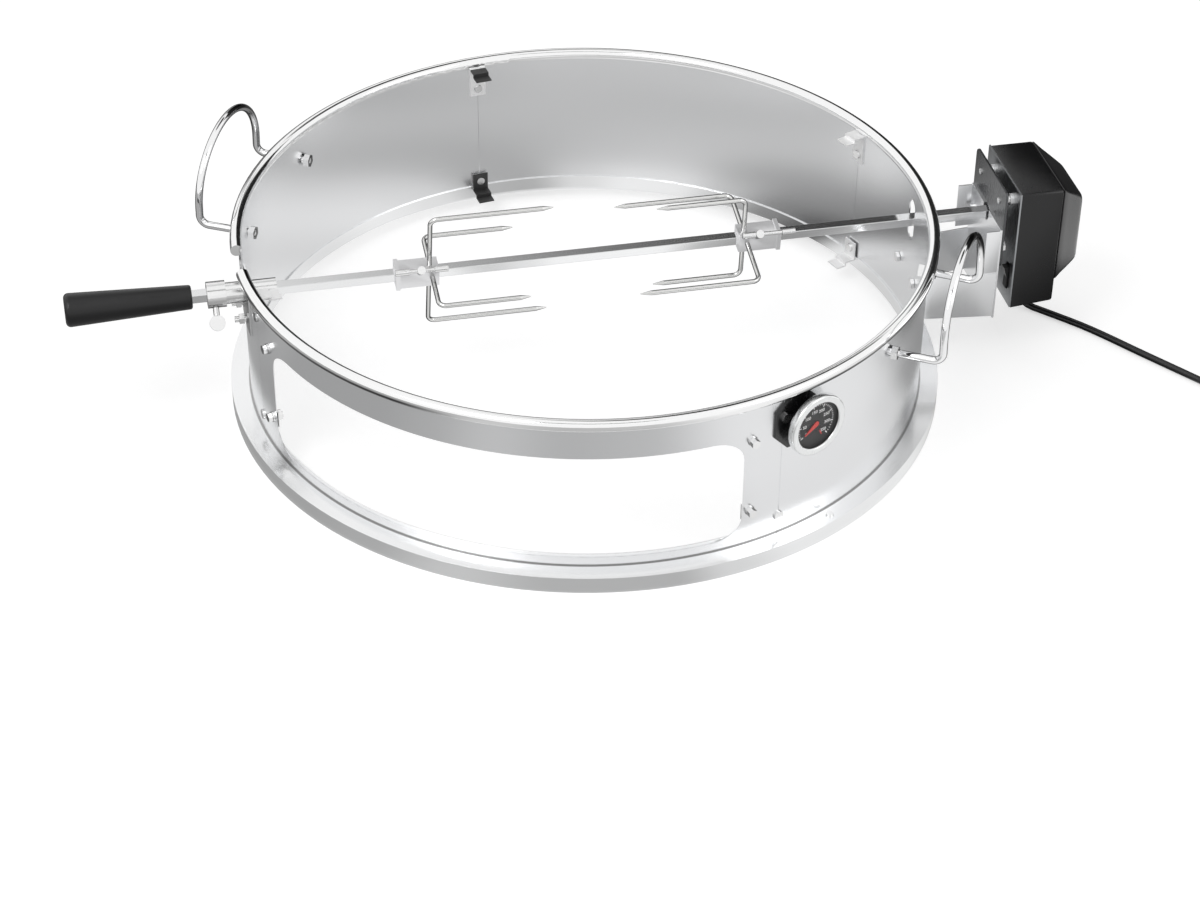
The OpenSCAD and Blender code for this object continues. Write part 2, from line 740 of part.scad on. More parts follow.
module thermometer_bezel() {
  color("silver") at_gauge() difference() {
    x_rod(bezel_r, bezel_x, bezel_x + bezel_t, 96);
    x_rod(neck_r + seat_gap, bezel_x - 1, bezel_x + 2, 64);
    x_rod(case_r + seat_gap, bezel_x + case_wall, bezel_x + bezel_t - lip_t, 96);
    x_rod(window_r, bezel_x + 2, bezel_x + bezel_t + 1, 96);
  }
}
module thermometer_dial() {
  color("black") at_gauge() difference() {
    x_rod(case_r - seat_gap, dial_x, dial_x + dial_t, 64);
    x_rod(arbor_r + run_gap, dial_x - 1, dial_x + 2);
  }
}
module thermometer_lens() {
  color("white", 0.4) at_gauge() x_rod(case_r, lens_x, lens_x + lens_t, 64);
}
module thermometer_needle() {
  color("red") at_gauge() rotate([needle_turn, 0, 0]) {
    x_rod(arbor_r, case_x + 2, needle_x + needle_t / 2);
    x_rod(needle_hub_r, needle_x, needle_x + needle_t, 32);
    along_x(needle_x, 0, 0) linear_extrude(needle_t)
      polygon([[-needle_hub_r, 0], [needle_hub_r, 0], [0.5, needle_len], [-0.5, needle_len]]);
  }
}
module thermometer_probe() {
  color("silver") at_gauge() x_rod(probe_r, probe_x, case_x);
}
module thermometer_fixings() {
  inner = high_tab_r - wall_t - seat_gap;
  color("gainsboro") {
    out_nut(gauge_az, gauge_z, 12, probe_r + seat_gap, wall_in - 4.3, 4);
    out_rod(gauge_screw_az, rivet_high_z, rivet_r, inner - 4, gauge_screw_x + head_in);
    out_rod(gauge_screw_az, rivet_high_z, rivet_head_r, gauge_screw_x, gauge_screw_x + 2);
    out_rod(gauge_screw_az, rivet_high_z, rivet_head_r, inner - 3, inner, 6);
  }
}

// Spit support on the left and motor bracket on the right
module spit_support_plate() {
  color("silver") difference() {
    band(wall_r + seat_gap, wall_r + seat_gap + support_t, support_zs[0], support_zs[1],
      180 - support_half, 180 + support_half);
    x_block(-wall_r - 8, -wall_in, -cradle_r, cradle_r, spit_z, support_zs[1] + 1);
    translate([0, 0, spit_z]) x_rod(cradle_r, -wall_r - 8, -wall_in, 64);
    support_holes();
  }
}
module support_bolts() {
  color("silver") for (side = [-1, 1]) {
    translate([0, side * support_bolt_y, support_bolt_z]) {
      x_rod(m5_r, -wall_r - support_bolt_out, -wall_in + 0.6 + head_in);
      x_rod(4.6, -wall_in + 0.6, -wall_in + 4.1, 6);
      difference() {
        x_rod(4.6, -wall_r - support_t - 5, -wall_r - support_t - 1, 6);
        x_rod(m5_r + seat_gap, -wall_r - support_t - 6, -wall_r);
      }
    }
  }
}
module bracket_arm(side) {
  // The arm runs from the wall's foot out to the web's edge
  x0 = (wall_r + bracket_t / 2) * cos(foot_az0);
  x1 = web_x + bracket_t / 2;
  y1 = web_half - bracket_t - 0.5;
  y0 = arm_wall_y + 0.5;
  translate([0, 0, arm_zs[0] + 0.5]) linear_extrude(arm_zs[1] - arm_zs[0] - 1)
    polygon([[x0, side * y0], [x1, side * y1], [x1, side * (y1 + bracket_t)], [x0, side * (y0 + bracket_t)]]);
}
module motor_bracket() {
  color("lightgray") difference() {
    union() {
      x_block(web_x, web_x + bracket_t, -web_half, web_half, web_z0, web_z1);
      for (side = [-1, 1]) {
        bracket_arm(side);
        band(wall_r + seat_gap, wall_r + seat_gap + bracket_t, arm_zs[0], arm_zs[1],
          side > 0 ? foot_az0 - foot_deg : -foot_az1, side > 0 ? foot_az1 : foot_deg - foot_az0);
        translate([0, side * (web_half - bracket_t / 2 - 0.2), 0])
          x_block(web_x - flange_depth, web_x + bracket_t / 2, -bracket_t / 2, bracket_t / 2,
            web_z1 - flange_h - 1, web_z1 - 1);
      }
    }
    x_block(web_x - 1, web_x + 5, -web_slot_r, web_slot_r, spit_z, web_z1 + 1);
    translate([0, 0, spit_z]) x_rod(web_slot_r, web_x - 1, web_x + 5, 48);
    for (side = [-1, 1]) {
      foot_hole(side);
      translate([0, side * hanger_screw_y, hanger_screw_z]) x_rod(m5_r + seat_gap, web_x - 1, web_x + 5);
    }
  }
}
module bracket_bolts() {
  color("silver") {
    for (side = [-1, 1]) {
      out_rod(side * foot_bolt_az, foot_bolt_z, m5_r, wall_in - 0.3 - head_in, wall_r + bracket_t + 6);
      out_rod(side * foot_bolt_az, foot_bolt_z, 4.6, wall_in - 3.3, wall_in - 0.3, 6);
      out_nut(side * foot_bolt_az, foot_bolt_z, 8, m5_r + seat_gap, wall_r + bracket_t + 2 * seat_gap, 4);
    }
    for (side = [-1, 1]) translate([0, side * hanger_screw_y, hanger_screw_z]) {
      x_rod(m5_r, web_x - 3, stud_x);
      x_rod(4.5, web_x - 3, web_x);
      x_rod(4.6, stud_x, stud_x + 4, 6);
    }
  }
}
module motor_hanger_plate() {
  color("dimgray") difference() {
    along_x(hanger_x, 0, 0) linear_extrude(hanger_t) offset(r = hanger_corner, $fn = 32)
      translate([hanger_corner - hanger_half, hanger_zs[0] + hanger_corner])
      square([2 * (hanger_half - hanger_corner), hanger_zs[1] - hanger_zs[0] - 2 * hanger_corner]);
    translate([0, 0, spit_z]) x_rod(web_slot_r, hanger_x - 1, stud_x + 1, 48);
    for (side = [-1, 1]) {
      translate([0, side * hanger_screw_y, hanger_screw_z]) x_rod(m5_r + seat_gap, hanger_x - 1, stud_x + 1);
      translate([0, side * motor_stud_y, motor_stud_z]) x_rod(m5_r + seat_gap, hanger_x - 1, stud_x + 1);
    }
  }
}
module motor_studs() {
  color("gainsboro") for (side = [-1, 1]) translate([0, side * motor_stud_y, motor_stud_z]) {
    x_rod(m5_r, hanger_x - 1, house_x + 2);
    x_rod(motor_stud_collar_r, stud_x, stud_x + motor_stud_collar_t);
    x_rod(motor_stud_neck_r, stud_x, face_x);
    x_rod(motor_stud_collar_r, face_x - motor_stud_collar_t, face_x);
  }
}

// Motor
module motor_face_plate() {
  color("dimgray") difference() {
    x_block(face_x, house_x, -motor_half, motor_half, motor_z0, motor_z1);
    translate([0, 0, spit_z]) x_rod(socket_r + run_gap, face_x - 1, house_x + 1, 64);
    for (side = [-1, 1])
      translate([0, side * motor_stud_y, motor_stud_z]) x_rod(m5_r + seat_gap, face_x - 1, house_x + 1);
    translate([0, switch_y, switch_z]) {
      x_block(face_x - 1, house_x + 1, -switch_half[0], switch_half[0],
        switch_half[0] - switch_half[1], switch_half[1] - switch_half[0]);
      for (side = [-1, 1]) translate([0, 0, side * (switch_half[1] - switch_half[0])])
        x_rod(switch_half[0], face_x - 1, house_x + 1, 48);
    }
  }
}
module motor_housing() {
  color([0.08, 0.08, 0.08]) difference() {
    x_block(house_x, house_x1, -motor_half, motor_half, motor_z0, motor_z1);
    x_block(house_x - 1, house_x1 - shell_t, shell_t - motor_half, motor_half - shell_t,
      motor_z0 + shell_t, motor_z1 - shell_t);
    x_block(house_x1 - 2 * shell_t, house_x1 + 1, -port_half, port_half, port_zs[0], port_zs[1]);
    translate([relief_x, relief_y, motor_z0 - 1]) cylinder(r = relief_r + seat_gap, h = shell_t + 2, $fn = 48);
    for (side = [-1, 1])
      translate([0, side * cover_ear_y, cover_ear_z]) x_rod(rivet_r + seat_gap, house_x1 - 5, house_x1 + 1);
  }
}
module dome_solid(inset) {
  edge = 0.01;
  hull() {
    x_block(house_x1 + seat_gap, house_x1 + seat_gap + edge, inset - motor_half, motor_half - inset,
      dome_zs[0] + inset, dome_zs[1] - inset);
    x_block(house_x1 + dome_depth - inset - edge, house_x1 + dome_depth - inset,
      inset - dome_end_half, dome_end_half - inset, dome_end_zs[0] + inset, dome_end_zs[1] - inset);
  }
}
module motor_rear_cover() {
  color([0.08, 0.08, 0.08]) {
    difference() {
      dome_solid(0);
      dome_solid(shell_t);
    }
    difference() {
      for (side = [-1, 1]) translate([0, side * cover_ear_y, 0])
        x_block(house_x1 + seat_gap, house_x1 + 1.5, -6, 6, cover_ear_z - 5, dome_zs[0] + 1);
      for (side = [-1, 1])
        translate([0, side * cover_ear_y, cover_ear_z]) x_rod(rivet_r + seat_gap, house_x1 - 5, house_x1 + 5);
    }
  }
}
module motor_cover_screws() {
  color("silver") for (side = [-1, 1]) translate([0, side * cover_ear_y, cover_ear_z]) {
    x_rod(rivet_r, house_x1 - 6, house_x1 + 1.6);
    x_rod(rivet_head_r - 0.5, house_x1 + 1.6, house_x1 + 3.6);
  }
}
module gear_plate() {
  z0 = motor_z0 + 3.6;
  z1 = motor_z1 - 5;
  color("silver") {
    difference() {
      x_block(gear_plate_x, gear_plate_x + gear_plate_t, -gear_plate_half, gear_plate_half, z0, z1);
      translate([0, 0, spit_z]) x_rod(journal_r + run_gap, gear_plate_x - 1, gear_plate_x + 3, 48);
      translate([0, rotor_at[0], rotor_at[1]]) x_rod(rotor_shaft_r + run_gap, gear_plate_x - 1, gear_plate_x + 3);
    }
    for (side = [-1, 1], z = pillar_zs)
      translate([0, side * pillar_y, z]) x_rod(pillar_r, house_x, gear_plate_x);
    translate([0, idler_at[0], idler_at[1]]) x_rod(idler_pin_r, gear_x - 1, gear_plate_x);
    for (side = [-1, 1])
      translate([0, rotor_at[0] + side * (core_half - 4), rotor_at[1] + core_above / 2])
        x_rod(2.5, gear_plate_x + gear_plate_t, core_x);
  }
}
// One gear drawn flat: teeth are trapezoids with backlash, and phase turns a tooth to that direction
module gear_shape(n, phase) {
  pitch = gear_m * n / 2;
  root = pitch - 1.2 * gear_m;
  tip = pitch + 0.8 * gear_m;
  step = 360 / n;
  wide = 0.75 * gear_m / root * 180 / PI;
  slim = 0.26 * gear_m / tip * 180 / PI;
  polygon([for (i = [0:n - 1], c = [[root, -wide], [tip, -slim], [tip, slim], [root, wide]])
    let (a = phase + i * step + c[1]) [c[0] * cos(a), c[0] * sin(a)]]);
}
module output_gear() {
  color("peru") along_x(gear_x, 0, spit_z) linear_extrude(gear_t) difference() {
    gear_shape(teeth[0], first_dir + 180 / teeth[0]);
    circle(r = gear_neck_r + seat_gap, $fn = 64);
  }
}
module idler_gear() {
  color("peru") difference() {
    union() {
      along_x(gear_x + move_gap, idler_at[0], idler_at[1]) linear_extrude(big_gear_x - gear_x - move_gap)
        gear_shape(teeth[1], first_dir + 180);
      along_x(big_gear_x, idler_at[0], idler_at[1]) linear_extrude(big_gear_t)
        gear_shape(teeth[2], 180 + 180 / teeth[2]);
    }
    translate([0, idler_at[0], idler_at[1]]) x_rod(idler_pin_r + run_gap, gear_x - 1, gear_plate_x, 48);
  }
}
module motor_rotor() {
  color("dimgray") {
    along_x(big_gear_x + 0.2, rotor_at[0], rotor_at[1]) linear_extrude(big_gear_t - 0.2) gear_shape(teeth[3], 0);
    translate([0, rotor_at[0], rotor_at[1]]) {
      x_rod(rotor_shaft_r, big_gear_x + 1, magnet_x + magnet_t + 2);
      x_rod(magnet_r, magnet_x, magnet_x + magnet_t, 64);
    }
  }
}
module drive_socket() {
  color("dimgray") translate([0, 0, spit_z]) difference() {
    union() {
      x_rod(socket_r, socket_x, gear_x, 64);
      x_rod(gear_neck_r, gear_x, gear_x + gear_t, 64);
      x_rod(journal_r, gear_x + gear_t, gear_plate_x + gear_plate_t, 48);
    }
    rotate([spit_roll, 0, 0])
      x_block(socket_x - 1, face_x + socket_depth, -sq_hole / 2, sq_hole / 2, -sq_hole / 2, sq_hole / 2);
  }
}
module stator_core() {
  color("slategray") difference() {
    x_block(core_x, core_x + core_t, rotor_at[0] - core_half, rotor_at[0] + core_half, core_zs[0], core_zs[1]);
    translate([0, rotor_at[0], rotor_at[1]]) x_rod(core_bore_r, core_x - 1, core_x + core_t + 1, 64);
    x_block(core_x - 1, core_x + core_t + 1, rotor_at[0] - core_window, rotor_at[0] + core_window,
      rotor_at[1] + core_bore_r + 2.5, core_zs[1] - limb_h);
  }
}
module stator_coil() {
  color("saddlebrown") difference() {
    x_block(core_x - coil_wall, core_x + core_t + coil_wall, rotor_at[0] - core_window + 0.5,
      rotor_at[0] + core_window - 0.5, core_zs[1] - limb_h - coil_wall, core_zs[1] + coil_wall);
    x_block(core_x - seat_gap, core_x + core_t + seat_gap, rotor_at[0] - core_half, rotor_at[0] + core_half,
      core_zs[1] - limb_h - seat_gap, core_zs[1] + seat_gap);
  }
}
module switch_body() {
  color([0.1, 0.1, 0.1]) translate([0, switch_y, switch_z]) difference() {
    x_block(house_x, house_x + 14, -switch_half[0] - 1, switch_half[0] + 1,
      -switch_half[1] - 0.5, switch_half[1] + 0.5);
    x_block(house_x - 1, house_x + 11, -rocker_half[0] - 0.4, rocker_half[0] + 0.4, -switch_half[1] + 1,
      switch_half[1] - 1);
    translate([rocker_pivot_x, 0, 0]) rotate([90, 0, 0])
      cylinder(r = rocker_pin_r + run_gap, h = 2 * switch_half[0] + 1, center = true, $fn = pin_fn);
  }
}
module switch_rocker() {
  color([0.15, 0.15, 0.15]) translate([rocker_pivot_x, switch_y, switch_z]) rotate([0, rocker_rest, 0]) {
    rotate([90, 0, 0]) linear_extrude(2 * rocker_half[0], center = true)
      polygon([[-7.6, rocker_half[1]], [-6, 0], [-7.6, -rocker_half[1]], [-1, -rocker_half[1]], [3.5, -3],
        [3.5, 3], [-1, rocker_half[1]]]);
    rotate([90, 0, 0]) cylinder(r = rocker_pin_r, h = 2 * switch_half[0] + 0.6, center = true, $fn = pin_fn);
  }
}

// Cord, from the strain relief under the motor to the plug
relief_end = [relief_x, relief_y, motor_z0 - relief_len];
floor_turn = [relief_x, relief_y, cord_floor_z];
floor_first = [cord_floor_points[0][0], cord_floor_points[0][1], cord_floor_z];
drop_bend = bend(relief_end, floor_turn, floor_first, cord_drop_r, 6);
coil_entry = [coil_start[0], coil_start[1], cord_coil_z];
coil_lead = coil_entry - 2 * cord_d * [coil_dir[0], coil_dir[1], 0];
floor_run = through(concat([drop_bend[6]], [for (p = cord_floor_points) [p[0], p[1], cord_floor_z]],
  [coil_lead]), 3);
cord_path = concat([relief_end], drop_bend, [for (i = [1:len(floor_run) - 1]) floor_run[i]],
  [coil_entry - cord_d * [coil_dir[0], coil_dir[1], 0], coil_entry]);
// The coil winds in on the lower layer, climbs in the half turn where it reverses and winds out above
function coil_point(turns) =
  let (from_middle = turns - loops_each_way, r = coil_in_r + coil_pitch * abs(from_middle),
    a = coil_heading - 90 + 360 * turns,
    climb = min(max(from_middle * 2 + 0.5, 0), 1))
  [coil_centre[0] + r * cos(a), coil_centre[1] + r * sin(a), cord_coil_z + layer_rise * climb];
coil_turns = [for (i = [0:coil_rings * cord_loops]) coil_point(i / coil_rings)];
coil_exit = coil_turns[len(coil_turns) - 1];
tail_end = coil_exit + tail_len * [coil_dir[0], coil_dir[1], 0];
coil_path = concat([coil_entry], coil_turns, [tail_end - cord_d * [coil_dir[0], coil_dir[1], 0], tail_end]);
coil_least = min([for (i = [0:len(coil_turns) - 1], j = [i + coil_rings / 2:len(coil_turns) - 1])
  norm(coil_turns[i] - coil_turns[j])]) - cord_d;
echo(least_gap_of_the_coil_to_itself = coil_least);
echo(length_of_the_cord = run_length(cord_path) + run_length(coil_path));

module cord_strain_relief() {
  color([0.1, 0.1, 0.1]) translate([relief_x, relief_y, 0]) {
    translate([0, 0, motor_z0 - relief_len]) cylinder(r1 = cord_r + 0.8, r2 = relief_r, h = relief_len, $fn = 48);
    translate([0, 0, motor_z0]) cylinder(r = relief_r, h = shell_t + seat_gap, $fn = 48);
    translate([0, 0, motor_z0 + shell_t + seat_gap]) cylinder(r = relief_r + 1.5, h = 1.2, $fn = 48);
  }
}
module power_cord() {
  color([0.06, 0.06, 0.06]) tube(cord_path, cord_r, cord_sides, [1, 0, 0]);
}
module cord_coil() {
  color([0.06, 0.06, 0.06]) tube(coil_path, cord_r, 6, [0, 0, 1]);
}
module cord_tie() {
  inner = coil_in_r - cord_r - move_gap;
  outer = coil_r + cord_r + move_gap;
  low = cord_coil_z - cord_r - move_gap;
  high = plug_z + cord_r + move_gap;
  color([0.2, 0.2, 0.2]) translate([coil_centre[0], coil_centre[1], 0]) rotate([0, 0, tie_az]) difference() {
    x_block(inner - tie_t, outer + tie_t, -tie_w / 2, tie_w / 2, low - tie_t, high + tie_t);
    x_block(inner, outer, -tie_w, tie_w, low, high);
  }
}
module plug_body() {
  color([0.1, 0.1, 0.1]) at_plug() {
    translate([0, 0, plug_z]) x_rod(cord_r + 1.2, seat_gap, plug_neck + 1, 32);
    x_block(plug_neck, plug_neck + plug_len, -plug_w / 2, plug_w / 2, seat_gap, seat_gap + plug_h);
  }
}
module plug_pins() {
  x0 = plug_neck + plug_len;
  color("silver") at_plug() {
    for (side = [-1, 1])
      x_block(x0, x0 + blade[0], side * blade_y - blade[1] / 2, side * blade_y + blade[1] / 2,
        plug_z - 2 - blade[2] / 2, plug_z - 2 + blade[2] / 2);
    translate([0, 0, plug_z + 3]) x_rod(earth_r, x0, x0 + earth_len);
  }
}

// Spit
module spit_rod() {
  color("silver") at_spit() x_block(rod_x0, rod_x1, -rod_w / 2, rod_w / 2, -rod_w / 2, rod_w / 2);
}
module spit_grip() {
  hole = rod_w + 2 * seat_gap;
  color([0.08, 0.08, 0.08]) at_spit() difference() {
    translate([grip_out_x, 0, 0]) rotate([0, 90, 0]) rotate_extrude($fn = 64) polygon(concat([[0, 0]],
      [for (w = [-90:15:0]) [grip_big_r - 4 + 4 * cos(w), 4 + 4 * sin(w)]],
      [for (w = [0:18:90]) [grip_small_r - 2 + 2 * cos(w), grip_len - 2 + 2 * sin(w)]], [[0, grip_len]]));
    x_block(rod_x0, grip_in_x + 1, -hole / 2, hole / 2, -hole / 2, hole / 2);
  }
}
module square_bored(r, x0, x1) {
  difference() {
    x_rod(r, x0, x1, 64);
    x_block(x0 - 1, x1 + 1, -sq_hole / 2, sq_hole / 2, -sq_hole / 2, sq_hole / 2);
  }
}
module bushing_tube() {
  color("silver") at_spit() square_bored(bushing_r, bushing_x, bushing_x + bushing_len);
}
module locking_collar() {
  color("silver") at_spit() difference() {
    square_bored(collar_r, collar_x, collar_x + collar_len);
    translate([collar_screw_x, 0, 0]) rotate([-edge_turn, 0, 0]) translate([0, 0, -collar_r - 1])
      cylinder(r = m5_r + run_gap, h = collar_r, $fn = pin_fn);
  }
}
module collar_thumb_screw() {
  color("silver") at_spit() translate([collar_screw_x, 0, 0]) rotate([-edge_turn, 0, 0]) {
    translate([0, 0, -collar_screw_drop + collar_disc_r - 1])
      cylinder(r = m5_r, h = collar_screw_drop - collar_disc_r + 1 - rod_diag_r - move_gap, $fn = pin_fn);
    translate([0, 0, -collar_screw_drop]) rotate([90, 0, 0])
      cylinder(r = collar_disc_r, h = collar_disc_t, center = true, $fn = 48);
  }
}

// Forks: at_fork puts +X along the prongs, from the hub's front face
module at_fork(left) {
  at_spit() translate([left ? left_hub_x : right_hub_x, 0, 0]) rotate([0, 0, left ? 0 : 180]) children();
}
module fork_hub(left) {
  half = hub_w / 2;
  color("silver") at_fork(left) difference() {
    union() {
      x_block(-hub_len, 0, -half, half, -half, half);
      x_block(-hub_len - hub_plate_t, -hub_len, -half - 1, half + 1, -half - 1, half + 1);
    }
    x_block(-hub_len - 9, 1, -sq_hole / 2, sq_hole / 2, -sq_hole / 2, sq_hole / 2);
    rotate([left ? edge_turn : -edge_turn, 0, 0]) translate([-screw_back, 0, 0])
      cylinder(r = screw_stem_r + run_gap, h = hub_w, $fn = pin_fn);
  }
}
// Two bent wires that stand off the hub's opposite faces; their prongs run along +X
module prong_pair(left, back, half, turn, length) {
  edge = hub_w / 2 + seat_gap;
  straight = length - prong_bend - prong_tip;
  color("whitesmoke") at_fork(left) difference() {
    rotate([turn, 0, 0]) for (side = [-1, 1]) scale([1, 1, side]) translate([-back, 0, 0]) {
      cylinder(r = prong_r, h = half - prong_bend, $fn = pin_fn);
      translate([prong_bend, 0, half - prong_bend]) {
        rotate([90, 0, 0]) rotate([0, 0, 90]) rotate_extrude(angle = 90, $fn = 96)
          translate([prong_bend, 0]) circle(r = prong_r, $fn = pin_fn);
        translate([0, 0, prong_bend]) x_rod(prong_r, 0, straight);
        translate([straight, 0, prong_bend]) rotate([0, 90, 0])
          cylinder(r1 = prong_r, r2 = 0.4, h = prong_tip, $fn = pin_fn);
      }
    }
    x_block(-hub_len, 1, -edge, edge, -edge, edge);
  }
}
// Screw with a bar through its head; bar holds the bar's ends along the spit's +X
module fork_screw(x, bar) {
  head_z = hub_corner + screw_neck;
  color("silver") at_spit() translate([x, 0, 0]) rotate([edge_turn, 0, 0]) {
    translate([0, 0, screw_stem_in])
      cylinder(r = screw_stem_r, h = head_z - screw_stem_in + head_in, $fn = pin_fn);
    translate([0, 0, head_z]) cylinder(r = screw_head_r, h = screw_head_h, $fn = pin_fn);
    translate([0, 0, head_z + screw_head_h / 2]) {
      x_rod(screw_bar_r, bar[0], bar[1]);
      x_rod(screw_bar_big_r, bar[0], bar[0] + screw_bar_big_len);
      x_rod(screw_bar_big_r, bar[1] - screw_bar_big_len, bar[1]);
    }
  }
}
module left_fork_hub() fork_hub(true);
module left_long_prongs() prong_pair(true, long_back, left_long_half, left_turns[0], long_len);
module left_short_prongs() prong_pair(true, short_back, left_short_half, left_turns[1], short_len);
module left_fork_screw() fork_screw(left_hub_x - screw_back, left_bar);
module right_fork_hub() fork_hub(false);
module right_long_prongs() prong_pair(false, long_back, right_long_half, right_turns[0], long_len);
module right_short_prongs() prong_pair(false, short_back, right_short_half, right_turns[1], short_len);
module right_fork_screw() fork_screw(right_hub_x + screw_back, right_bar);

front_wall_panel();
right_wall_panel();
rear_wall_panel();
left_wall_panel();
top_rim();
base_flange();
seam_tabs();
wall_rivets();
cover_studs();
stud_plates();
left_side_handle();
right_side_handle();
handle_nuts();
thermometer_bracket();
thermometer_case();
thermometer_bezel();
thermometer_dial();
thermometer_lens();
thermometer_probe();
thermometer_fixings();
thermometer_needle();
spit_support_plate();
support_bolts();
motor_bracket();
bracket_bolts();
motor_hanger_plate();
motor_studs();
motor_face_plate();
motor_housing();
motor_rear_cover();
motor_cover_screws();
gear_plate();
stator_core();
stator_coil();
switch_body();
switch_rocker();
cord_strain_relief();
power_cord();
cord_coil();
cord_tie();
plug_body();
plug_pins();
spit_rod();
spit_grip();
bushing_tube();
locking_collar();
collar_thumb_screw();
left_fork_hub();
left_long_prongs();
left_short_prongs();
left_fork_screw();
right_fork_hub();
right_long_prongs();
right_short_prongs();
right_fork_screw();
drive_socket();
output_gear();
idler_gear();
motor_rotor();
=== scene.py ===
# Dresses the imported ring, spit and motor with materials, light, camera and finer visible pieces
import math

import bmesh
import bpy
from mathutils import Matrix, Vector


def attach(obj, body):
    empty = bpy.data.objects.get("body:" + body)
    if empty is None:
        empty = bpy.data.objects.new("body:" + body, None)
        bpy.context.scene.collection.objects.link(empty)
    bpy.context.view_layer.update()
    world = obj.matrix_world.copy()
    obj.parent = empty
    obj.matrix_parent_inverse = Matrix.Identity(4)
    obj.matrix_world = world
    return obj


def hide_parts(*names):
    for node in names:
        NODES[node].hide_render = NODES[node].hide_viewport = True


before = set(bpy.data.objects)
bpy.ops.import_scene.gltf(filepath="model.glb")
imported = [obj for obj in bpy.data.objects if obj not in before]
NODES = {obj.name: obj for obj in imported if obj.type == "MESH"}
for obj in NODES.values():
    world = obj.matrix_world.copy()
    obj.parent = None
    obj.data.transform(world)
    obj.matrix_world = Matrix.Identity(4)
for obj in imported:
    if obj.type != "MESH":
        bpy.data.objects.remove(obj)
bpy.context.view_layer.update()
MM = 0.001

# ---------------------------------------------------------------- sizes from the part, in millimetres
WALL_R, SKIRT_H, SPIT_Z, RIM_Z = 280.0, 14.0, 116.0, 148.0
FACE_X, HOUSE_X, HOUSE_X1 = 357.0, 358.5, 395.0
MOTOR_HALF, MOTOR_Z0, MOTOR_Z1 = 42.0, 45.0, 155.0
CORD_R = 3.0


# ---------------------------------------------------------------- camera
def make_camera():
    data = bpy.data.cameras.new("camera")
    data.sensor_width, data.lens = 36.0, 85.05
    data.clip_start, data.clip_end = 0.05, 30.0
    cam = bpy.data.objects.new("camera", data)
    bpy.context.scene.collection.objects.link(cam)
    yaw, pitch, roll = (math.radians(a) for a in (12.207, 36.742, 0.505))
    ahead = Vector((math.sin(yaw) * math.cos(pitch), math.cos(yaw) * math.cos(pitch), -math.sin(pitch)))
    side = Vector((math.cos(yaw), -math.sin(yaw), 0))
    up = side.cross(ahead)
    right = math.cos(roll) * side + math.sin(roll) * up
    top = -math.sin(roll) * side + math.cos(roll) * up
    turn = Matrix((right, top, -ahead)).transposed().to_4x4()
    cam.matrix_world = Matrix.Translation((-0.40241, -1.9242, 1.3717)) @ turn
    bpy.context.scene.camera = cam


make_camera()


# ---------------------------------------------------------------- materials
class Nodes:
    """Small helper that adds and links shader nodes in one material or world."""

    def __init__(self, tree, keep=False):
        self.tree = tree
        if not keep:
            tree.nodes.clear()

    def add(self, kind, settings=None, **sockets):
        node = self.tree.nodes.new(kind)
        for key, value in (settings or {}).items():
            setattr(node, key, value)
        for key, value in sockets.items():
            self.put(node, key.replace("_", " "), value)
        return node

    def put(self, node, key, value):
        socket = node.inputs[int(key)] if key.isdigit() else node.inputs[key]
        if isinstance(value, tuple) and isinstance(value[0], bpy.types.Node):
            self.tree.links.new(value[0].outputs[value[1]], socket)
        elif isinstance(value, bpy.types.Node):
            self.tree.links.new(value.outputs[0], socket)
        else:
            socket.default_value = value


def rgba(c):
    return (c[0], c[1], c[2], 1.0)


def brush_vector(n, way, fine):
    """Coordinates that are stretched along the direction of the brushing."""
    where = n.add("ShaderNodeTexCoord")
    slow = 7.0
    if way == "round":
        split = n.add("ShaderNodeSeparateXYZ", Vector=(where, "Object"))
        flat = n.add("ShaderNodeVectorMath", {"operation": "MULTIPLY"})
        n.put(flat, "0", (where, "Object"))
        flat.inputs[1].default_value = (1, 1, 0)
        size = n.add("ShaderNodeVectorMath", {"operation": "LENGTH"})
        n.put(size, "0", flat)
        total = n.add("ShaderNodeMath", {"operation": "ADD"})
        n.put(total, "0", (size, "Value"))
        n.put(total, "1", (split, "Z"))
        join = n.add("ShaderNodeCombineXYZ", X=(split, "X"), Y=(split, "Y"), Z=total)
        scale = (slow, slow, fine)
    else:
        join = None
        scale = tuple(slow if axis == way else fine for axis in "xyz")
    mapping = n.add("ShaderNodeMapping")
    n.put(mapping, "Vector", join if join else (where, "Object"))
    mapping.inputs["Scale"].default_value = scale
    return mapping, where


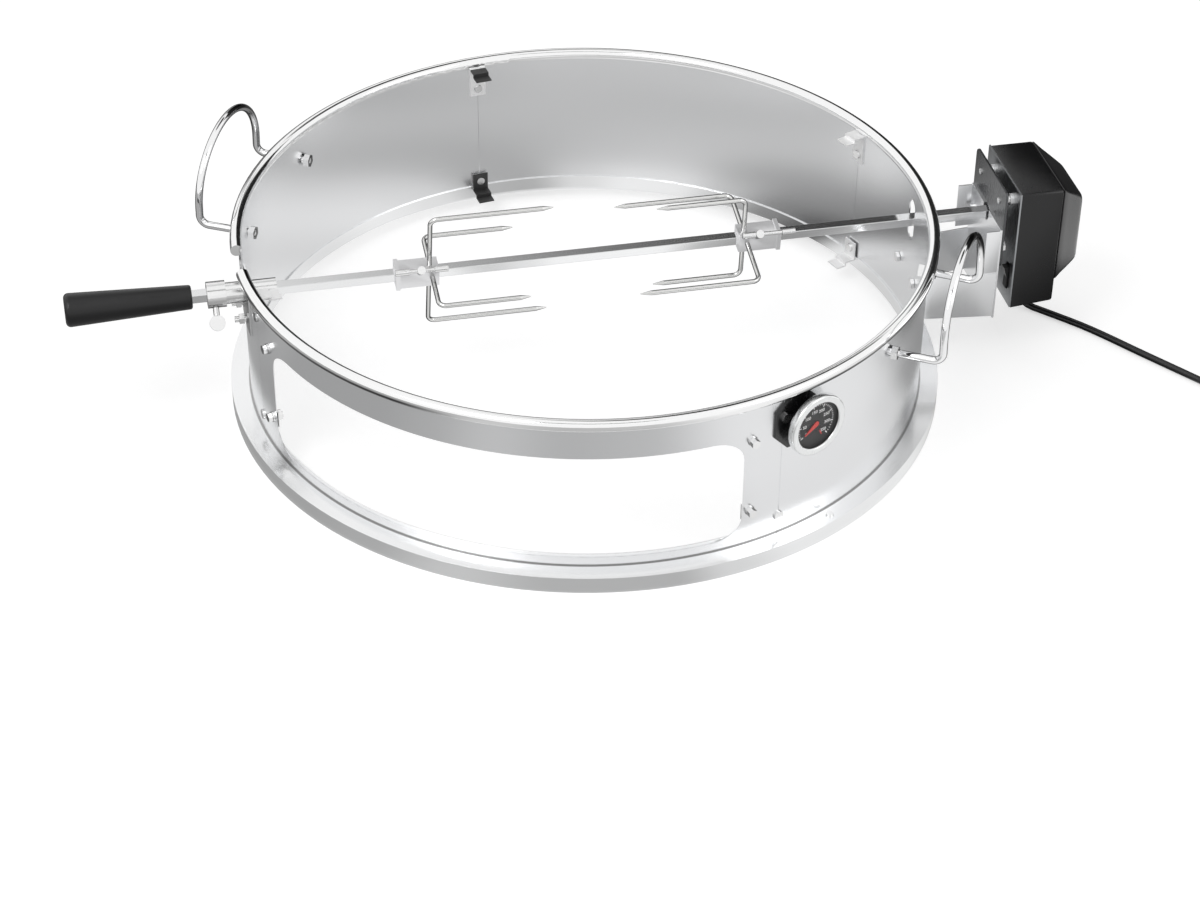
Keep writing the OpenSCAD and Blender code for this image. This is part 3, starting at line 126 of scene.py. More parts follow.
def steel(name, color, rough, way="round", fine=900.0, groove=0.10, mottle=0.05, streak=1.0):
    """Brushed or polished metal: fine lines in bump and gloss, and faint broad changes of tone."""
    mat = bpy.data.materials.new(name)
    mat.use_nodes = True
    n = Nodes(mat.node_tree)
    out = n.add("ShaderNodeOutputMaterial")
    bsdf = n.add("ShaderNodeBsdfPrincipled", Metallic=1.0)
    n.put(out, "Surface", bsdf)
    lines_at, where = brush_vector(n, way, fine)
    lines = n.add("ShaderNodeTexNoise", Scale=1.0, Detail=5.0, Roughness=0.7, Vector=lines_at)
    broad = n.add("ShaderNodeTexNoise", Scale=9.0, Detail=3.0, Roughness=0.55, Vector=(where, "Object"))
    gloss = n.add("ShaderNodeMapRange", From_Min=0.3, From_Max=0.7,
                  To_Min=rough * (1 - 0.25 * streak), To_Max=rough * (1 + 0.3 * streak))
    n.put(gloss, "Value", (lines, "Fac"))
    haze = n.add("ShaderNodeMath", {"operation": "MULTIPLY_ADD"})
    n.put(haze, "0", (broad, "Fac"))
    haze.inputs[1].default_value = mottle
    n.put(haze, "2", gloss)
    n.put(bsdf, "Roughness", haze)
    tone = n.add("ShaderNodeMix", {"data_type": "RGBA"})
    tone.inputs[6].default_value = rgba([c * (1 - 0.06 * streak) for c in color])
    tone.inputs[7].default_value = rgba([min(1.0, c * (1 + 0.03 * streak)) for c in color])
    blend = n.add("ShaderNodeMath", {"operation": "ADD"})
    n.put(blend, "0", (lines, "Fac"))
    n.put(blend, "1", (broad, "Fac"))
    fit = n.add("ShaderNodeMapRange", From_Min=0.7, From_Max=1.3)
    n.put(fit, "Value", blend)
    tone.inputs[0].default_value = 0.5
    n.tree.links.new(fit.outputs[0], tone.inputs[0])
    n.tree.links.new(tone.outputs[2], bsdf.inputs["Base Color"])
    bump = n.add("ShaderNodeBump", Strength=groove, Distance=0.0004)
    n.put(bump, "Height", (lines, "Fac"))
    n.put(bsdf, "Normal", bump)
    return mat


def smooth_step(n, value, start, end):
    """0 before start, 1 after end and smooth between; start may be the larger one."""
    step = n.add("ShaderNodeMapRange", {"interpolation_type": "SMOOTHSTEP"}, From_Min=start, From_Max=end)
    n.put(step, "Value", value)
    return step


def times(n, values):
    """The product of several node outputs."""
    total = values[0]
    for value in values[1:]:
        step = n.add("ShaderNodeMath", {"operation": "MULTIPLY"})
        n.put(step, "0", total)
        n.put(step, "1", value)
        total = step
    return total


def polar(n, vector):
    """Radius about Z, direction about Z counted from +X, and height of a vector, as node outputs."""
    split = n.add("ShaderNodeSeparateXYZ", Vector=vector)
    flat = n.add("ShaderNodeCombineXYZ", X=(split, "X"), Y=(split, "Y"))
    size = n.add("ShaderNodeVectorMath", {"operation": "LENGTH"})
    n.put(size, "0", flat)
    turn = n.add("ShaderNodeMath", {"operation": "ARCTAN2"})
    n.put(turn, "0", (split, "Y"))
    n.put(turn, "1", (split, "X"))
    return (size, "Value"), turn, (split, "Z")


def window(n, value, start, end, soft):
    """1 between start and end, in degrees, for a value in radians."""
    a, b, s = math.radians(start), math.radians(end), math.radians(soft)
    return times(n, [smooth_step(n, value, a, a + s), smooth_step(n, value, b, b - s)])


def shade(mat, low, share):
    """Mixes a grey into a material's colour, for painted shade and painted dark reflections; share adds nodes and
    gives how much of it, from 0 to 1.
    """
    n = Nodes(mat.node_tree, keep=True)
    bsdf = next(node for node in n.tree.nodes if node.type == "BSDF_PRINCIPLED")
    old = bsdf.inputs["Base Color"].links[0].from_socket
    mix = n.add("ShaderNodeMix", {"data_type": "RGBA"})
    n.tree.links.new(share(n).outputs[0], mix.inputs[0])
    n.tree.links.new(old, mix.inputs[6])
    mix.inputs[7].default_value = (low, low, low, 1)
    n.tree.links.new(mix.outputs[2], bsdf.inputs["Base Color"])


def crease(limits, turns=None):
    """A share for painted shade and painted dark reflection lines, which grows between limits, each (radius or
    height, start, end) in mm, and between turns.
    """
    def share(n):
        where = n.add("ShaderNodeTexCoord")
        radius, turn, height = polar(n, (where, "Object"))
        kinds = {"radius": radius, "height": height}
        parts = [smooth_step(n, kinds[what], a * MM, b * MM) for what, a, b in limits]
        if turns:
            parts.append(window(n, turn, *turns))
        return times(n, parts)
    return share


def outline(start, end):
    """A share that grows towards the outline of round metal: a painted dark reflection, standing in for the dark
    round a studio that the metal mirrors.
    """
    def share(n):
        edge = n.add("ShaderNodeLayerWeight", Blend=0.5)
        return smooth_step(n, (edge, "Facing"), start, end)
    return share


def plastic(name, color, rough, grain=1500.0, depth=0.12, coat=0.0, spread=0.25, specular=0.5):
    """Moulded plastic, rubber or paint: a fine grain in the surface and faint changes of gloss and tone."""
    mat = bpy.data.materials.new(name)
    mat.use_nodes = True
    n = Nodes(mat.node_tree)
    out = n.add("ShaderNodeOutputMaterial")
    bsdf = n.add("ShaderNodeBsdfPrincipled", Metallic=0.0)
    bsdf.inputs["Specular IOR Level"].default_value = specular
    bsdf.inputs["Coat Weight"].default_value = coat
    bsdf.inputs["Coat Roughness"].default_value = 0.12
    n.put(out, "Surface", bsdf)
    where = n.add("ShaderNodeTexCoord")
    fine = n.add("ShaderNodeTexNoise", Scale=grain, Detail=3.0, Roughness=0.6, Vector=(where, "Object"))
    broad = n.add("ShaderNodeTexNoise", Scale=22.0, Detail=4.0, Roughness=0.6, Vector=(where, "Object"))
    gloss = n.add("ShaderNodeMapRange", From_Min=0.35, From_Max=0.65,
                  To_Min=rough * (1 - spread), To_Max=min(1.0, rough * (1 + spread)))
    n.put(gloss, "Value", (broad, "Fac"))
    n.put(bsdf, "Roughness", gloss)
    tone = n.add("ShaderNodeMix", {"data_type": "RGBA"})
    n.tree.links.new(broad.outputs["Fac"], tone.inputs[0])
    tone.inputs[6].default_value = rgba([c * 0.85 for c in color])
    tone.inputs[7].default_value = rgba([min(1.0, c * 1.15) for c in color])
    n.tree.links.new(tone.outputs[2], bsdf.inputs["Base Color"])
    bump = n.add("ShaderNodeBump", Strength=depth, Distance=0.0002)
    n.put(bump, "Height", (fine, "Fac"))
    n.put(bsdf, "Normal", bump)
    return mat


def glass(name):
    mat = bpy.data.materials.new(name)
    mat.use_nodes = True
    n = Nodes(mat.node_tree)
    out = n.add("ShaderNodeOutputMaterial")
    bsdf = n.add("ShaderNodeBsdfPrincipled")
    bsdf.inputs["Base Color"].default_value = (1, 1, 1, 1)
    bsdf.inputs["Transmission Weight"].default_value = 1.0
    bsdf.inputs["IOR"].default_value = 1.2
    where = n.add("ShaderNodeTexCoord")
    smear = n.add("ShaderNodeTexNoise", Scale=120.0, Detail=3.0, Vector=(where, "Object"))
    gloss = n.add("ShaderNodeMapRange", From_Min=0.4, From_Max=0.8, To_Min=0.0, To_Max=0.05)
    n.put(gloss, "Value", (smear, "Fac"))
    n.put(bsdf, "Roughness", gloss)
    see = n.add("ShaderNodeBsdfTransparent")
    ray = n.add("ShaderNodeLightPath")
    mix = n.add("ShaderNodeMixShader")
    n.tree.links.new(ray.outputs["Is Shadow Ray"], mix.inputs[0])
    n.tree.links.new(bsdf.outputs[0], mix.inputs[1])
    n.tree.links.new(see.outputs[0], mix.inputs[2])
    n.put(out, "Surface", mix)
    return mat


wall = steel("wall_steel", (0.87, 0.875, 0.885), 0.25, "round", 1100.0, 0.012, 0.02, 0.15)
ledge = steel("ledge_steel", (0.95, 0.955, 0.96), 0.18, "round", 1100.0, 0.02, 0.02, 0.3)
bead = steel("bead_steel", (0.97, 0.97, 0.97), 0.08, "round", 1400.0, 0.02, 0.02, 0.5)
plated = steel("plated_steel", (0.90, 0.90, 0.90), 0.16, "x", 1500.0, 0.05)
chrome = steel("chromed_wire", (0.95, 0.95, 0.955), 0.05, "z", 2500.0, 0.02, 0.03)
prong = steel("prong_wire", (0.80, 0.80, 0.79), 0.10, "x", 2500.0, 0.02, 0.03)
bolt_steel = steel("bolt_steel", (0.97, 0.97, 0.97), 0.40, "x", 1400.0, 0.03, 0.03, 0.4)
tab_steel = steel("tab_steel", (0.97, 0.97, 0.97), 0.55, "x", 1400.0, 0.03, 0.03, 0.4)
spit_steel = steel("spit_steel", (0.90, 0.905, 0.91), 0.10, "x", 1600.0, 0.03, 0.03, 0.6)
hub_steel = steel("hub_steel", (0.90, 0.90, 0.91), 0.36, "x", 1400.0, 0.05, 0.04, 0.6)
bracket_steel = steel("bracket_steel", (0.92, 0.925, 0.935), 0.24, "z", 1100.0, 0.02, 0.03, 0.25)
dark_steel = steel("dark_steel", (0.11, 0.112, 0.115), 0.24, "z", 1200.0, 0.05, 0.05, 0.6)
face_steel = steel("face_steel", (0.40, 0.41, 0.42), 0.26, "z", 1100.0, 0.05, 0.05, 0.6)
bezel_steel = steel("bezel_steel", (0.90, 0.91, 0.91), 0.22, "z", 1500.0, 0.10)
socket_steel = steel("socket_steel", (0.5, 0.5, 0.5), 0.3, "x", 1400.0, 0.08)
iron = steel("rotor_iron", (0.25, 0.25, 0.26), 0.5, "z", 700.0, 0.2, 0.1)
brass = steel("pin_brass", (0.80, 0.68, 0.40), 0.2, "x", 1500.0, 0.05)
copper = steel("coil_copper", (0.65, 0.35, 0.18), 0.35, "z", 1800.0, 0.5)
paint_black = plastic("black_paint", (0.006, 0.006, 0.0065), 0.28, 900.0, 0.10, 0.5)
dial_black = plastic("dial_black", (0.008, 0.008, 0.009), 0.5, 2500.0, 0.04)
needle_red = plastic("needle_red", (0.72, 0.05, 0.04), 0.4, 2500.0, 0.05)
motor_black = plastic("motor_black", (0.004, 0.004, 0.0045), 0.24, 2200.0, 0.18, 0.0, 0.15)
grip_black = plastic("grip_black", (0.004, 0.004, 0.0045), 0.34, 2600.0, 0.25, 0.0, 0.15)
switch_black = plastic("switch_black", (0.006, 0.006, 0.006), 0.3, 2600.0, 0.1)
rubber = plastic("cord_rubber", (0.006, 0.006, 0.007), 0.30, 2600.0, 0.15, 0.2)
nylon = plastic("gear_nylon", (0.72, 0.68, 0.58), 0.4, 1500.0, 0.1)
print_white = plastic("print_white", (0.95, 0.95, 0.95), 0.6, 3000.0, 0.05)
lens_glass = glass("lens_glass")
# Painted dark reflection lines along the bead: the outer edge at the left and right front, the inner edge at the
# front, the outer edge at the rear
LEFT_FRONT, RIGHT_FRONT = (-200, -118, 14), (-74, -22, 12)
for turns in (LEFT_FRONT, RIGHT_FRONT):
    shade(bead, 0.04, crease([("radius", 284.0, 285.0), ("height", 149.2, 147.2)], turns))
shade(bead, 0.05, crease([("radius", 282.2, 281.0)], (-200, -55, 8)))
shade(bead, 0.08, crease([("radius", 283.2, 284.4)], (26, 165, 10)))
# Painted shade: a dark band at the foot of the wall, where it meets the ledge
shade(wall, 0.50, crease([("height", 15.4, 14.6)]))
# Painted shade: a dark line along the ledge's inner edge, next to the wall
shade(ledge, 0.45, crease([("radius", 279.8, 280.1), ("radius", 281.8, 281.0), ("height", 13.4, 13.7)]))
# Painted dark reflection towards the outlines of wires, prongs and plated parts
shade(chrome, 0.10, outline(0.42, 0.62))
shade(prong, 0.10, outline(0.30, 0.52))
shade(plated, 0.12, outline(0.46, 0.66))
# Painted shade on the shelves of the seam tabs at the rear
shade(tab_steel, 0.10, crease([("radius", 277.4, 276.8)], (60, 140, 2)))

FINISH = {
    "front_wall_panel": wall, "right_wall_panel": wall, "rear_wall_panel": wall, "left_wall_panel": wall,
    "base_flange": ledge, "top_rim": bead, "seam_tabs": tab_steel, "wall_rivets": plated,
    "cover_studs": plated, "stud_plates": plated, "handle_nuts": plated,
    "thermometer_fixings": plated, "support_bolts": plated, "bracket_bolts": bolt_steel,
    "motor_studs": bolt_steel, "motor_cover_screws": plated, "gear_plate": plated,
    "thermometer_probe": plated, "locking_collar": plated, "bushing_tube": plated,
    "collar_thumb_screw": plated, "left_fork_screw": plated, "right_fork_screw": plated,
    "spit_support_plate": plated, "left_side_handle": chrome, "right_side_handle": chrome,
    "left_long_prongs": prong, "left_short_prongs": prong, "right_long_prongs": prong,
    "right_short_prongs": prong, "spit_rod": spit_steel, "left_fork_hub": hub_steel,
    "right_fork_hub": hub_steel, "motor_bracket": bracket_steel, "motor_hanger_plate": dark_steel,
    "motor_face_plate": face_steel, "thermometer_bracket": paint_black,
    "thermometer_case": paint_black, "thermometer_bezel": bezel_steel, "thermometer_dial": dial_black,
    "thermometer_lens": lens_glass, "thermometer_needle": needle_red, "motor_housing": motor_black,
    "motor_rear_cover": motor_black, "spit_grip": grip_black, "switch_body": switch_black,
    "switch_rocker": switch_black, "cord_tie": grip_black, "plug_body": grip_black,
    "cord_strain_relief": grip_black, "power_cord": rubber, "cord_coil": rubber, "plug_pins": brass,
    "drive_socket": socket_steel, "output_gear": nylon, "idler_gear": nylon, "motor_rotor": iron,
    "stator_core": iron, "stator_coil": copper,
}
for node, mat in FINISH.items():
    data = NODES[node].data
    data.materials.clear()
    data.materials.append(mat)


# ---------------------------------------------------------------- mesh helpers
def piece(name, verts, faces, mat, body, smooth=True, replaces=()):
    """A mesh piece from points in millimetres, which rides on a body."""
    mesh = bpy.data.meshes.new(name)
    mesh.from_pydata([Vector(v) * MM for v in verts], [], faces)
    mesh.validate()
    bm = bmesh.new()
    bm.from_mesh(mesh)
    bmesh.ops.recalc_face_normals(bm, faces=bm.faces)
    bm.to_mesh(mesh)
    bm.free()
    for p in mesh.polygons:
        p.use_smooth = smooth
    mesh.materials.append(mat)
    obj = bpy.data.objects.new(name, mesh)
    bpy.context.scene.collection.objects.link(obj)
    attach(obj, body)
    if replaces:
        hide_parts(*replaces)
    return obj


def harden(obj, angle=35.0):
    """Sharp edges stay sharp in the shading, and round ones stay round."""
    mesh = obj.data
    mesh.set_sharp_from_angle(angle=math.radians(angle))


def tube_mesh(points, radii, sides):
    """A tube through points, with a radius at each, closed at both ends."""
    pts = [Vector(p) for p in points]
    tangents = [(pts[min(i + 1, len(pts) - 1)] - pts[max(i - 1, 0)]).normalized() for i in range(len(pts))]
    normal = tangents[0].orthogonal().normalized()
    verts, faces = [], []
    for i, (p, t) in enumerate(zip(pts, tangents)):
        normal = (normal - normal.dot(t) * t).normalized()
        other = t.cross(normal)
        for k in range(sides):
            a = 2 * math.pi * k / sides
            verts.append(p + radii[i] * (math.cos(a) * normal + math.sin(a) * other))
    for i in range(len(pts) - 1):
        for k in range(sides):
            a, b = i * sides + k, i * sides + (k + 1) % sides
            faces.append((a, b, b + sides, a + sides))
    faces.append(tuple(reversed(range(sides))))
    faces.append(tuple(range((len(pts) - 1) * sides, len(pts) * sides)))
    return verts, faces


def lathe_mesh(profile, sides, place):
    """A ring turned from a closed profile of (along, radius); place turns (along, y, z) into the frame."""
    verts, faces, m = [], [], len(profile)
    for k in range(sides):
        a = 2 * math.pi * k / sides
        for along, r in profile:
            verts.append(place(along, r * math.cos(a), r * math.sin(a)))
    for k in range(sides):
        for i in range(m):
            a, b = k * m + i, k * m + (i + 1) % m
            c, d = ((k + 1) % sides) * m + (i + 1) % m, ((k + 1) % sides) * m + i
            faces.append((a, b, c, d))
    return verts, faces


def bend(a, b, c, r, steps):
    """Points of a round bend of radius r at corner b between a and c."""
    a, b, c = Vector(a), Vector(b), Vector(c)
    u, v = (a - b).normalized(), (c - b).normalized()
    half = math.acos(max(-1, min(1, u.dot(v)))) / 2
    centre = b + (u + v).normalized() * r / math.sin(half)
    out = (b + u * r / math.tan(half) - centre).normalized()
    sweep = math.pi - 2 * half
    return [centre + r * (out * math.cos(sweep * s / steps) - u * math.sin(sweep * s / steps))
            for s in range(steps + 1)]


# ---------------------------------------------------------------- cord, coil, tie and plug
def cord_points():
    """The route of the part's source: down from the relief, along the floor, round the coil, to the plug."""
    relief_end, z = Vector((386, 30, MOTOR_Z0 - 17.5)), CORD_R + 0.05
    floor = [(408, 7), (433, -21), (451, -45), (469, -71), (504, -120)]
    heading = math.radians(-56)
    go = Vector((math.cos(heading), math.sin(heading), 0))
    side = Vector((-math.sin(heading), math.cos(heading), 0))
    coil_z, coil_r, pitch, loops = CORD_R + 1.2, 44.0, 6.6, 6
    entry = Vector((542, -176, coil_z))
    drop = bend(relief_end, (386, 30, z), (408, 7, z), 24.0, 6)
    knots = [drop[6]] + [Vector((x, y, z)) for x, y in floor] + [entry - 12 * go]
    run = []
    for i in range(len(knots) - 1):
        p0, p1 = knots[max(i - 1, 0)], knots[i]
        p2, p3 = knots[i + 1], knots[min(i + 2, len(knots) - 1)]
        for s in range(3):
            w = s / 3
            run.append(0.5 * (2 * p1 + (p2 - p0) * w + (2 * p0 - 5 * p1 + 4 * p2 - p3) * w * w
                              + (3 * p1 - p0 - 3 * p2 + p3) * w ** 3))
    run.append(knots[-1])
    points = [relief_end] + drop + run[1:] + [entry - 6 * go, entry]
    middle = entry + 6 * go + coil_r * side
    for i in range(24 * loops + 1):
        turns = i / 24
        away = turns - loops / 2
        r = coil_r - pitch * loops / 2 + pitch * abs(away)
        a = heading - math.pi / 2 + 2 * math.pi * turns
        climb = min(max(away * 2 + 0.5, 0), 1)
        points.append(middle + Vector((r * math.cos(a), r * math.sin(a), pitch * climb)))
    last = points[-1]
    points += [last + 24 * go, last + 30 * go]
    return points, middle, go, side


CORD, COIL_MIDDLE, GO, SIDE = cord_points()


def make_cord():
    curve = bpy.data.curves.new("mains_cord", "CURVE")
    curve.dimensions, curve.bevel_depth, curve.bevel_resolution = "3D", CORD_R * MM, 5
    curve.use_fill_caps = True
    line = curve.splines.new("POLY")
    line.points.add(len(CORD) - 1)
    for point, p in zip(line.points, CORD):
        point.co = (p.x * MM, p.y * MM, p.z * MM, 1)
    line.use_smooth = True
    curve.materials.append(rubber)
    obj = bpy.data.objects.new("mains_cord", curve)
    bpy.context.scene.collection.objects.link(obj)
    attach(obj, "ring")
    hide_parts("power_cord", "cord_coil")
    return obj


def make_tie():
    """A soft strap wound round all the turns at one place of the coil."""
    a = math.radians(40)
    out, across = Vector((math.cos(a), math.sin(a), 0)), Vector((-math.sin(a), math.cos(a), 0))
    base = Vector((COIL_MIDDLE.x, COIL_MIDDLE.y, 0))
    r0, r1 = 44 - 6.6 * 3 - 3.6, 44 + 3.6
    z0, z1 = 4.2 - 3.6, 4.2 + 6.6 + 3.6
    edge = []
    for cx, cz, start in ((r1 - 3.2, z1 - 3.2, 0), (r0 + 3.2, z1 - 3.2, 90),
                          (r0 + 3.2, z0 + 3.2, 180), (r1 - 3.2, z0 + 3.2, 270)):
        for s in range(7):
            w = math.radians(start + 15 * s)
            edge.append((cx + 3.2 * math.cos(w), cz + 3.2 * math.sin(w)))
    verts, faces = [], []
    sections = [(-3.0, 0.35), (-2.7, 0.75), (2.7, 0.75), (3.0, 0.35), (2.7, -0.05), (-2.7, -0.05)]
    centre = ((r0 + r1) / 2, (z0 + z1) / 2)
    for x, z in edge:
        d = Vector((x - centre[0], z - centre[1]))
        d = Vector((d.x / (r1 - r0), d.y / (z1 - z0))).normalized()
        for y, t in sections:
            verts.append(base + out * (x + d.x * t) + across * y + Vector((0, 0, z + d.y * t)))
    m = len(sections)
    for i in range(len(edge)):
        j = (i + 1) % len(edge)
        for k in range(m):
            faces.append((i * m + k, i * m + (k + 1) % m, j * m + (k + 1) % m, j * m + k))
    tie = piece("coil_strap", verts, faces, grip_black, "ring", replaces=("cord_tie",))
    return tie


def make_plug():
    """A moulded plug: a rounded body, a waisted grip with ridges, and a ribbed neck round the cord."""
    at = Vector((542, -176, 0)) + 36 * GO
    z_mid = 9.1

    def place(x, y, z):
        return at + GO * x + SIDE * y + Vector((0, 0, z))

    verts, faces = [], []
    rows = [(1.0, 4.1, 4.1, 1.0), (4.0, 4.1, 4.1, 1.0), (4.6, 3.5, 3.5, 1.0), (6.2, 3.5, 3.5, 1.0),
            (6.8, 4.1, 4.1, 1.0), (8.6, 4.1, 4.1, 1.0), (9.2, 3.6, 3.6, 1.0), (10.8, 3.6, 3.6, 1.0),
            (11.6, 4.1, 4.1, 0.9), (13.0, 7.5, 6.4, 0.75), (15.5, 11.2, 8.0, 0.55), (19.0, 12.6, 8.7, 0.5),
            (26.0, 11.8, 8.4, 0.5), (31.0, 12.2, 8.5, 0.5), (36.0, 13.3, 8.9, 0.42), (42.5, 13.4, 8.95, 0.4),
            (43.6, 12.9, 8.5, 0.4), (43.95, 12.0, 7.7, 0.4)]
    sides = 40
    for x, half_w, half_h, power in rows:
        lift = 10.8 - (10.8 - z_mid) * min(max((x - 11.6) / 6.0, 0), 1)
        for k in range(sides):
            a = 2 * math.pi * k / sides
            c, s = math.cos(a), math.sin(a)
            y = half_w * math.copysign(abs(c) ** power, c)
            z = half_h * math.copysign(abs(s) ** power, s)
            verts.append(place(x, y, lift + z))
    for i in range(len(rows) - 1):
        for k in range(sides):
            a, b = i * sides + k, i * sides + (k + 1) % sides
            faces.append((a, b, b + sides, a + sides))
    faces.append(tuple(reversed(range(sides))))
    faces.append(tuple(range((len(rows) - 1) * sides, len(rows) * sides)))
    body = piece("plug_moulding", verts, faces, grip_black, "ring", replaces=("plug_body",))
    harden(body, 40)
    return body


cord = make_cord()
strap = make_tie()
plug = make_plug()
tuple(c * MM for c in CORD[0])


# ---------------------------------------------------------------- side handles
def make_handle(name, node, az):
    """One bent wire: two level, parallel legs through the wall, and an upright arch."""
    half, leg_z, r, foot, arch = 60.9, 122.6, 3.15, 16.5, 51.0
    hx = WALL_R + 35.2
    start = math.sqrt((WALL_R - 1.2) ** 2 - half ** 2) - 5
    turn = Matrix.Rotation(math.radians(az), 3, "Z")

    def lean(z):
        return hx - 2.0 * (z - leg_z) / (foot + arch)

    def leg(side):
        a = Vector((start, side * half, leg_z))
        b = Vector((hx, side * half, leg_z))
        c = Vector((lean(leg_z + foot), side * half, leg_z + foot))
        path = [a, a + (b - a).normalized() * 1.2] + bend(a, b, c, 8.0, 10)
        for s in range(0, 30):
            w = math.radians(3 * s)
            z = leg_z + foot + arch * math.sin(w)
            path.append(Vector((lean(z), side * half * math.cos(w), z)))
        return path

    left, right = leg(1), leg(-1)
    top = Vector((lean(leg_z + foot + arch), 0, leg_z + foot + arch))
    path = [turn @ p for p in left + [top] + right[::-1]]
    radii = [r] * len(path)
    radii[0] = radii[-1] = r - 0.8
    verts, faces = tube_mesh(path, radii, 28)
    obj = piece(name, verts, faces, chrome, "ring", replaces=(node,))
    harden(obj, 50)


make_handle("left_handle_wire", "left_side_handle", 151.1)
make_handle("right_handle_wire", "right_side_handle", -31.2)


# ---------------------------------------------------------------- softer edges on plates and blocks
def eased(node, body, slot, width, segments=2):
    """A copy of a node whose sharp edges are rounded a little, as rolled and cast metal is."""
    source = NODES[node]
    mesh = source.data.copy()
    mesh.name = node + "_eased"
    bm = bmesh.new()
    bm.from_mesh(mesh)
    bmesh.ops.remove_doubles(bm, verts=bm.verts, dist=1e-6)
    bmesh.ops.dissolve_limit(bm, angle_limit=math.radians(1.0), verts=bm.verts, edges=bm.edges)
    bm.to_mesh(mesh)
    bm.free()
    obj = bpy.data.objects.new(node + "_eased", mesh)
    bpy.context.scene.collection.objects.link(obj)
    bevel = obj.modifiers.new("ease", "BEVEL")
    bevel.width, bevel.segments, bevel.limit_method = width * MM, segments, "ANGLE"
    bevel.angle_limit = math.radians(50)
    bevel.use_clamp_overlap = True
    bevel.harden_normals = True
    for p in mesh.polygons:
        p.use_smooth = True
    mesh.set_sharp_from_angle(angle=math.radians(40))
    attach(obj, body)
    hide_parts(node)
    return obj


for node, body, slot, width in (
        ("base_flange", "ring", "wall_steel", 0.7), ("spit_rod", "spit", "spit_steel", 0.5),
        ("left_fork_hub", "left_fork", "spit_steel", 0.5), ("right_fork_hub", "right_fork", "spit_steel", 0.5),
        ("motor_hanger_plate", "ring", "dark_steel", 0.4), ("motor_face_plate", "ring", "dark_steel", 0.4),
        ("motor_bracket", "ring", "bracket_steel", 0.35)):
    eased(node, body, slot, width)


# ---------------------------------------------------------------- motor shell
def rounded_rect(half_y, z0, z1, r, steps=5):
    """Corner points of a rounded rectangle in the plane across X, in order."""
    pts = []
    for cy, cz, start in ((half_y - r, z1 - r, 0), (-half_y + r, z1 - r, 90),
                          (-half_y + r, z0 + r, 180), (half_y - r, z0 + r, 270)):
        for s in range(steps + 1):
            w = math.radians(start + 90 * s / steps)
            pts.append((cy + r * math.cos(w), cz + r * math.sin(w)))
    return pts


def loft(rows):
    """Joins rows of equal length and closes both ends."""
    verts, faces, m = [], [], len(rows[0])
    for row in rows:
        verts += row
    for i in range(len(rows) - 1):
        for k in range(m):
            a, b = i * m + k, i * m + (k + 1) % m
            faces.append((a, b, b + m, a + m))
    faces.append(tuple(reversed(range(m))))
    faces.append(tuple(range((len(rows) - 1) * m, len(rows) * m)))
    return verts, faces


def make_motor_shell():
    """The moulded housing: a rounded box with a fine groove where the rear cover meets it."""
    x0, x1 = HOUSE_X, HOUSE_X1
    spec = [(x0 + 0.02, 0.5), (x0 + 0.5, 0.15), (x0 + 1.0, 0.0), (x1 - 1.4, 0.0), (x1 - 0.7, 0.2), (x1 - 0.05, 0.8)]
    rows = []
    for x, inset in spec:
        low = MOTOR_Z0 - 1.8 + 3.6 * (x - x0) / (x1 - x0) + inset
        ring = rounded_rect(MOTOR_HALF - inset, low, MOTOR_Z1 - inset, 2.6 - inset * 0.5, 6)
        rows.append([Vector((x, y, z)) for y, z in ring])
    verts, faces = loft(rows)
    shell = piece("motor_shell", verts, faces, motor_black, "ring", replaces=("motor_housing",))
    harden(shell, 30)


def make_motor_dome():
    """The rear cover: a flat rim, sides that slope in, a rounded crown, and two screw ears."""
    x0, x1 = HOUSE_X1 + 0.05, HOUSE_X1 + 24.0
    z0, z1 = MOTOR_Z0 + 23, MOTOR_Z1
    e_half, e0, e1 = 27.0, SPIT_Z - 41, SPIT_Z + 22.5

    def ring(w, inset, r):
        """The section at share w of the way from the rim to the crown."""
        half = MOTOR_HALF + (e_half - MOTOR_HALF) * w
        low, high = z0 + (e0 - z0) * w, z1 + (e1 - z1) * w
        return rounded_rect(half - inset, low + inset, high - inset, r, 6)

    rows = []
    for x, w, inset, r in ((x0, 0, 0.8, 2.0), (x0 + 0.6, 0, 0.1, 2.5), (x0 + 1.2, 0.02, 0.0, 2.6),
                           (x0 + 6.4, 0.27, 0.0, 3.4), (x0 + 12.8, 0.54, 0.0, 4.2), (x0 + 18.6, 0.79, 0.1, 5.0),
                           (x1 - 3.4, 0.87, 0.2, 5.2), (x1 - 1.9, 0.93, 0.55, 5.4), (x1 - 0.8, 0.97, 1.4, 5.2),
                           (x1 - 0.2, 0.99, 2.6, 4.6), (x1, 1.0, 4.2, 3.6)):
        rows.append([Vector((x, y, z)) for y, z in ring(w, inset, r)])
    verts, faces = loft(rows)
    for side in (-1, 1):
        base = len(verts)
        pts = rounded_rect(6.0, MOTOR_Z0 + 12.5, z0 + 1.5, 2.2, 4)
        for x, inset in ((x0, 0.0), (x0 + 1.1, 0.0), (x0 + 1.45, 0.35)):
            for y, z in pts:
                zc = (MOTOR_Z0 + 12.5 + z0 + 1.5) / 2
                verts.append(Vector((x, side * 24 + y * (1 - inset / 6), zc + (z - zc) * (1 - inset / 6))))
        m = len(pts)
        for i in range(2):
            for k in range(m):
                a, b = base + i * m + k, base + i * m + (k + 1) % m
                faces.append((a, b, b + m, a + m))
        faces.append(tuple(reversed(range(base, base + m))))
        faces.append(tuple(range(base + 2 * m, base + 3 * m)))
    dome = piece("motor_dome", verts, faces, motor_black, "ring", replaces=("motor_rear_cover",))
    harden(dome, 30)


make_motor_shell()
make_motor_dome()


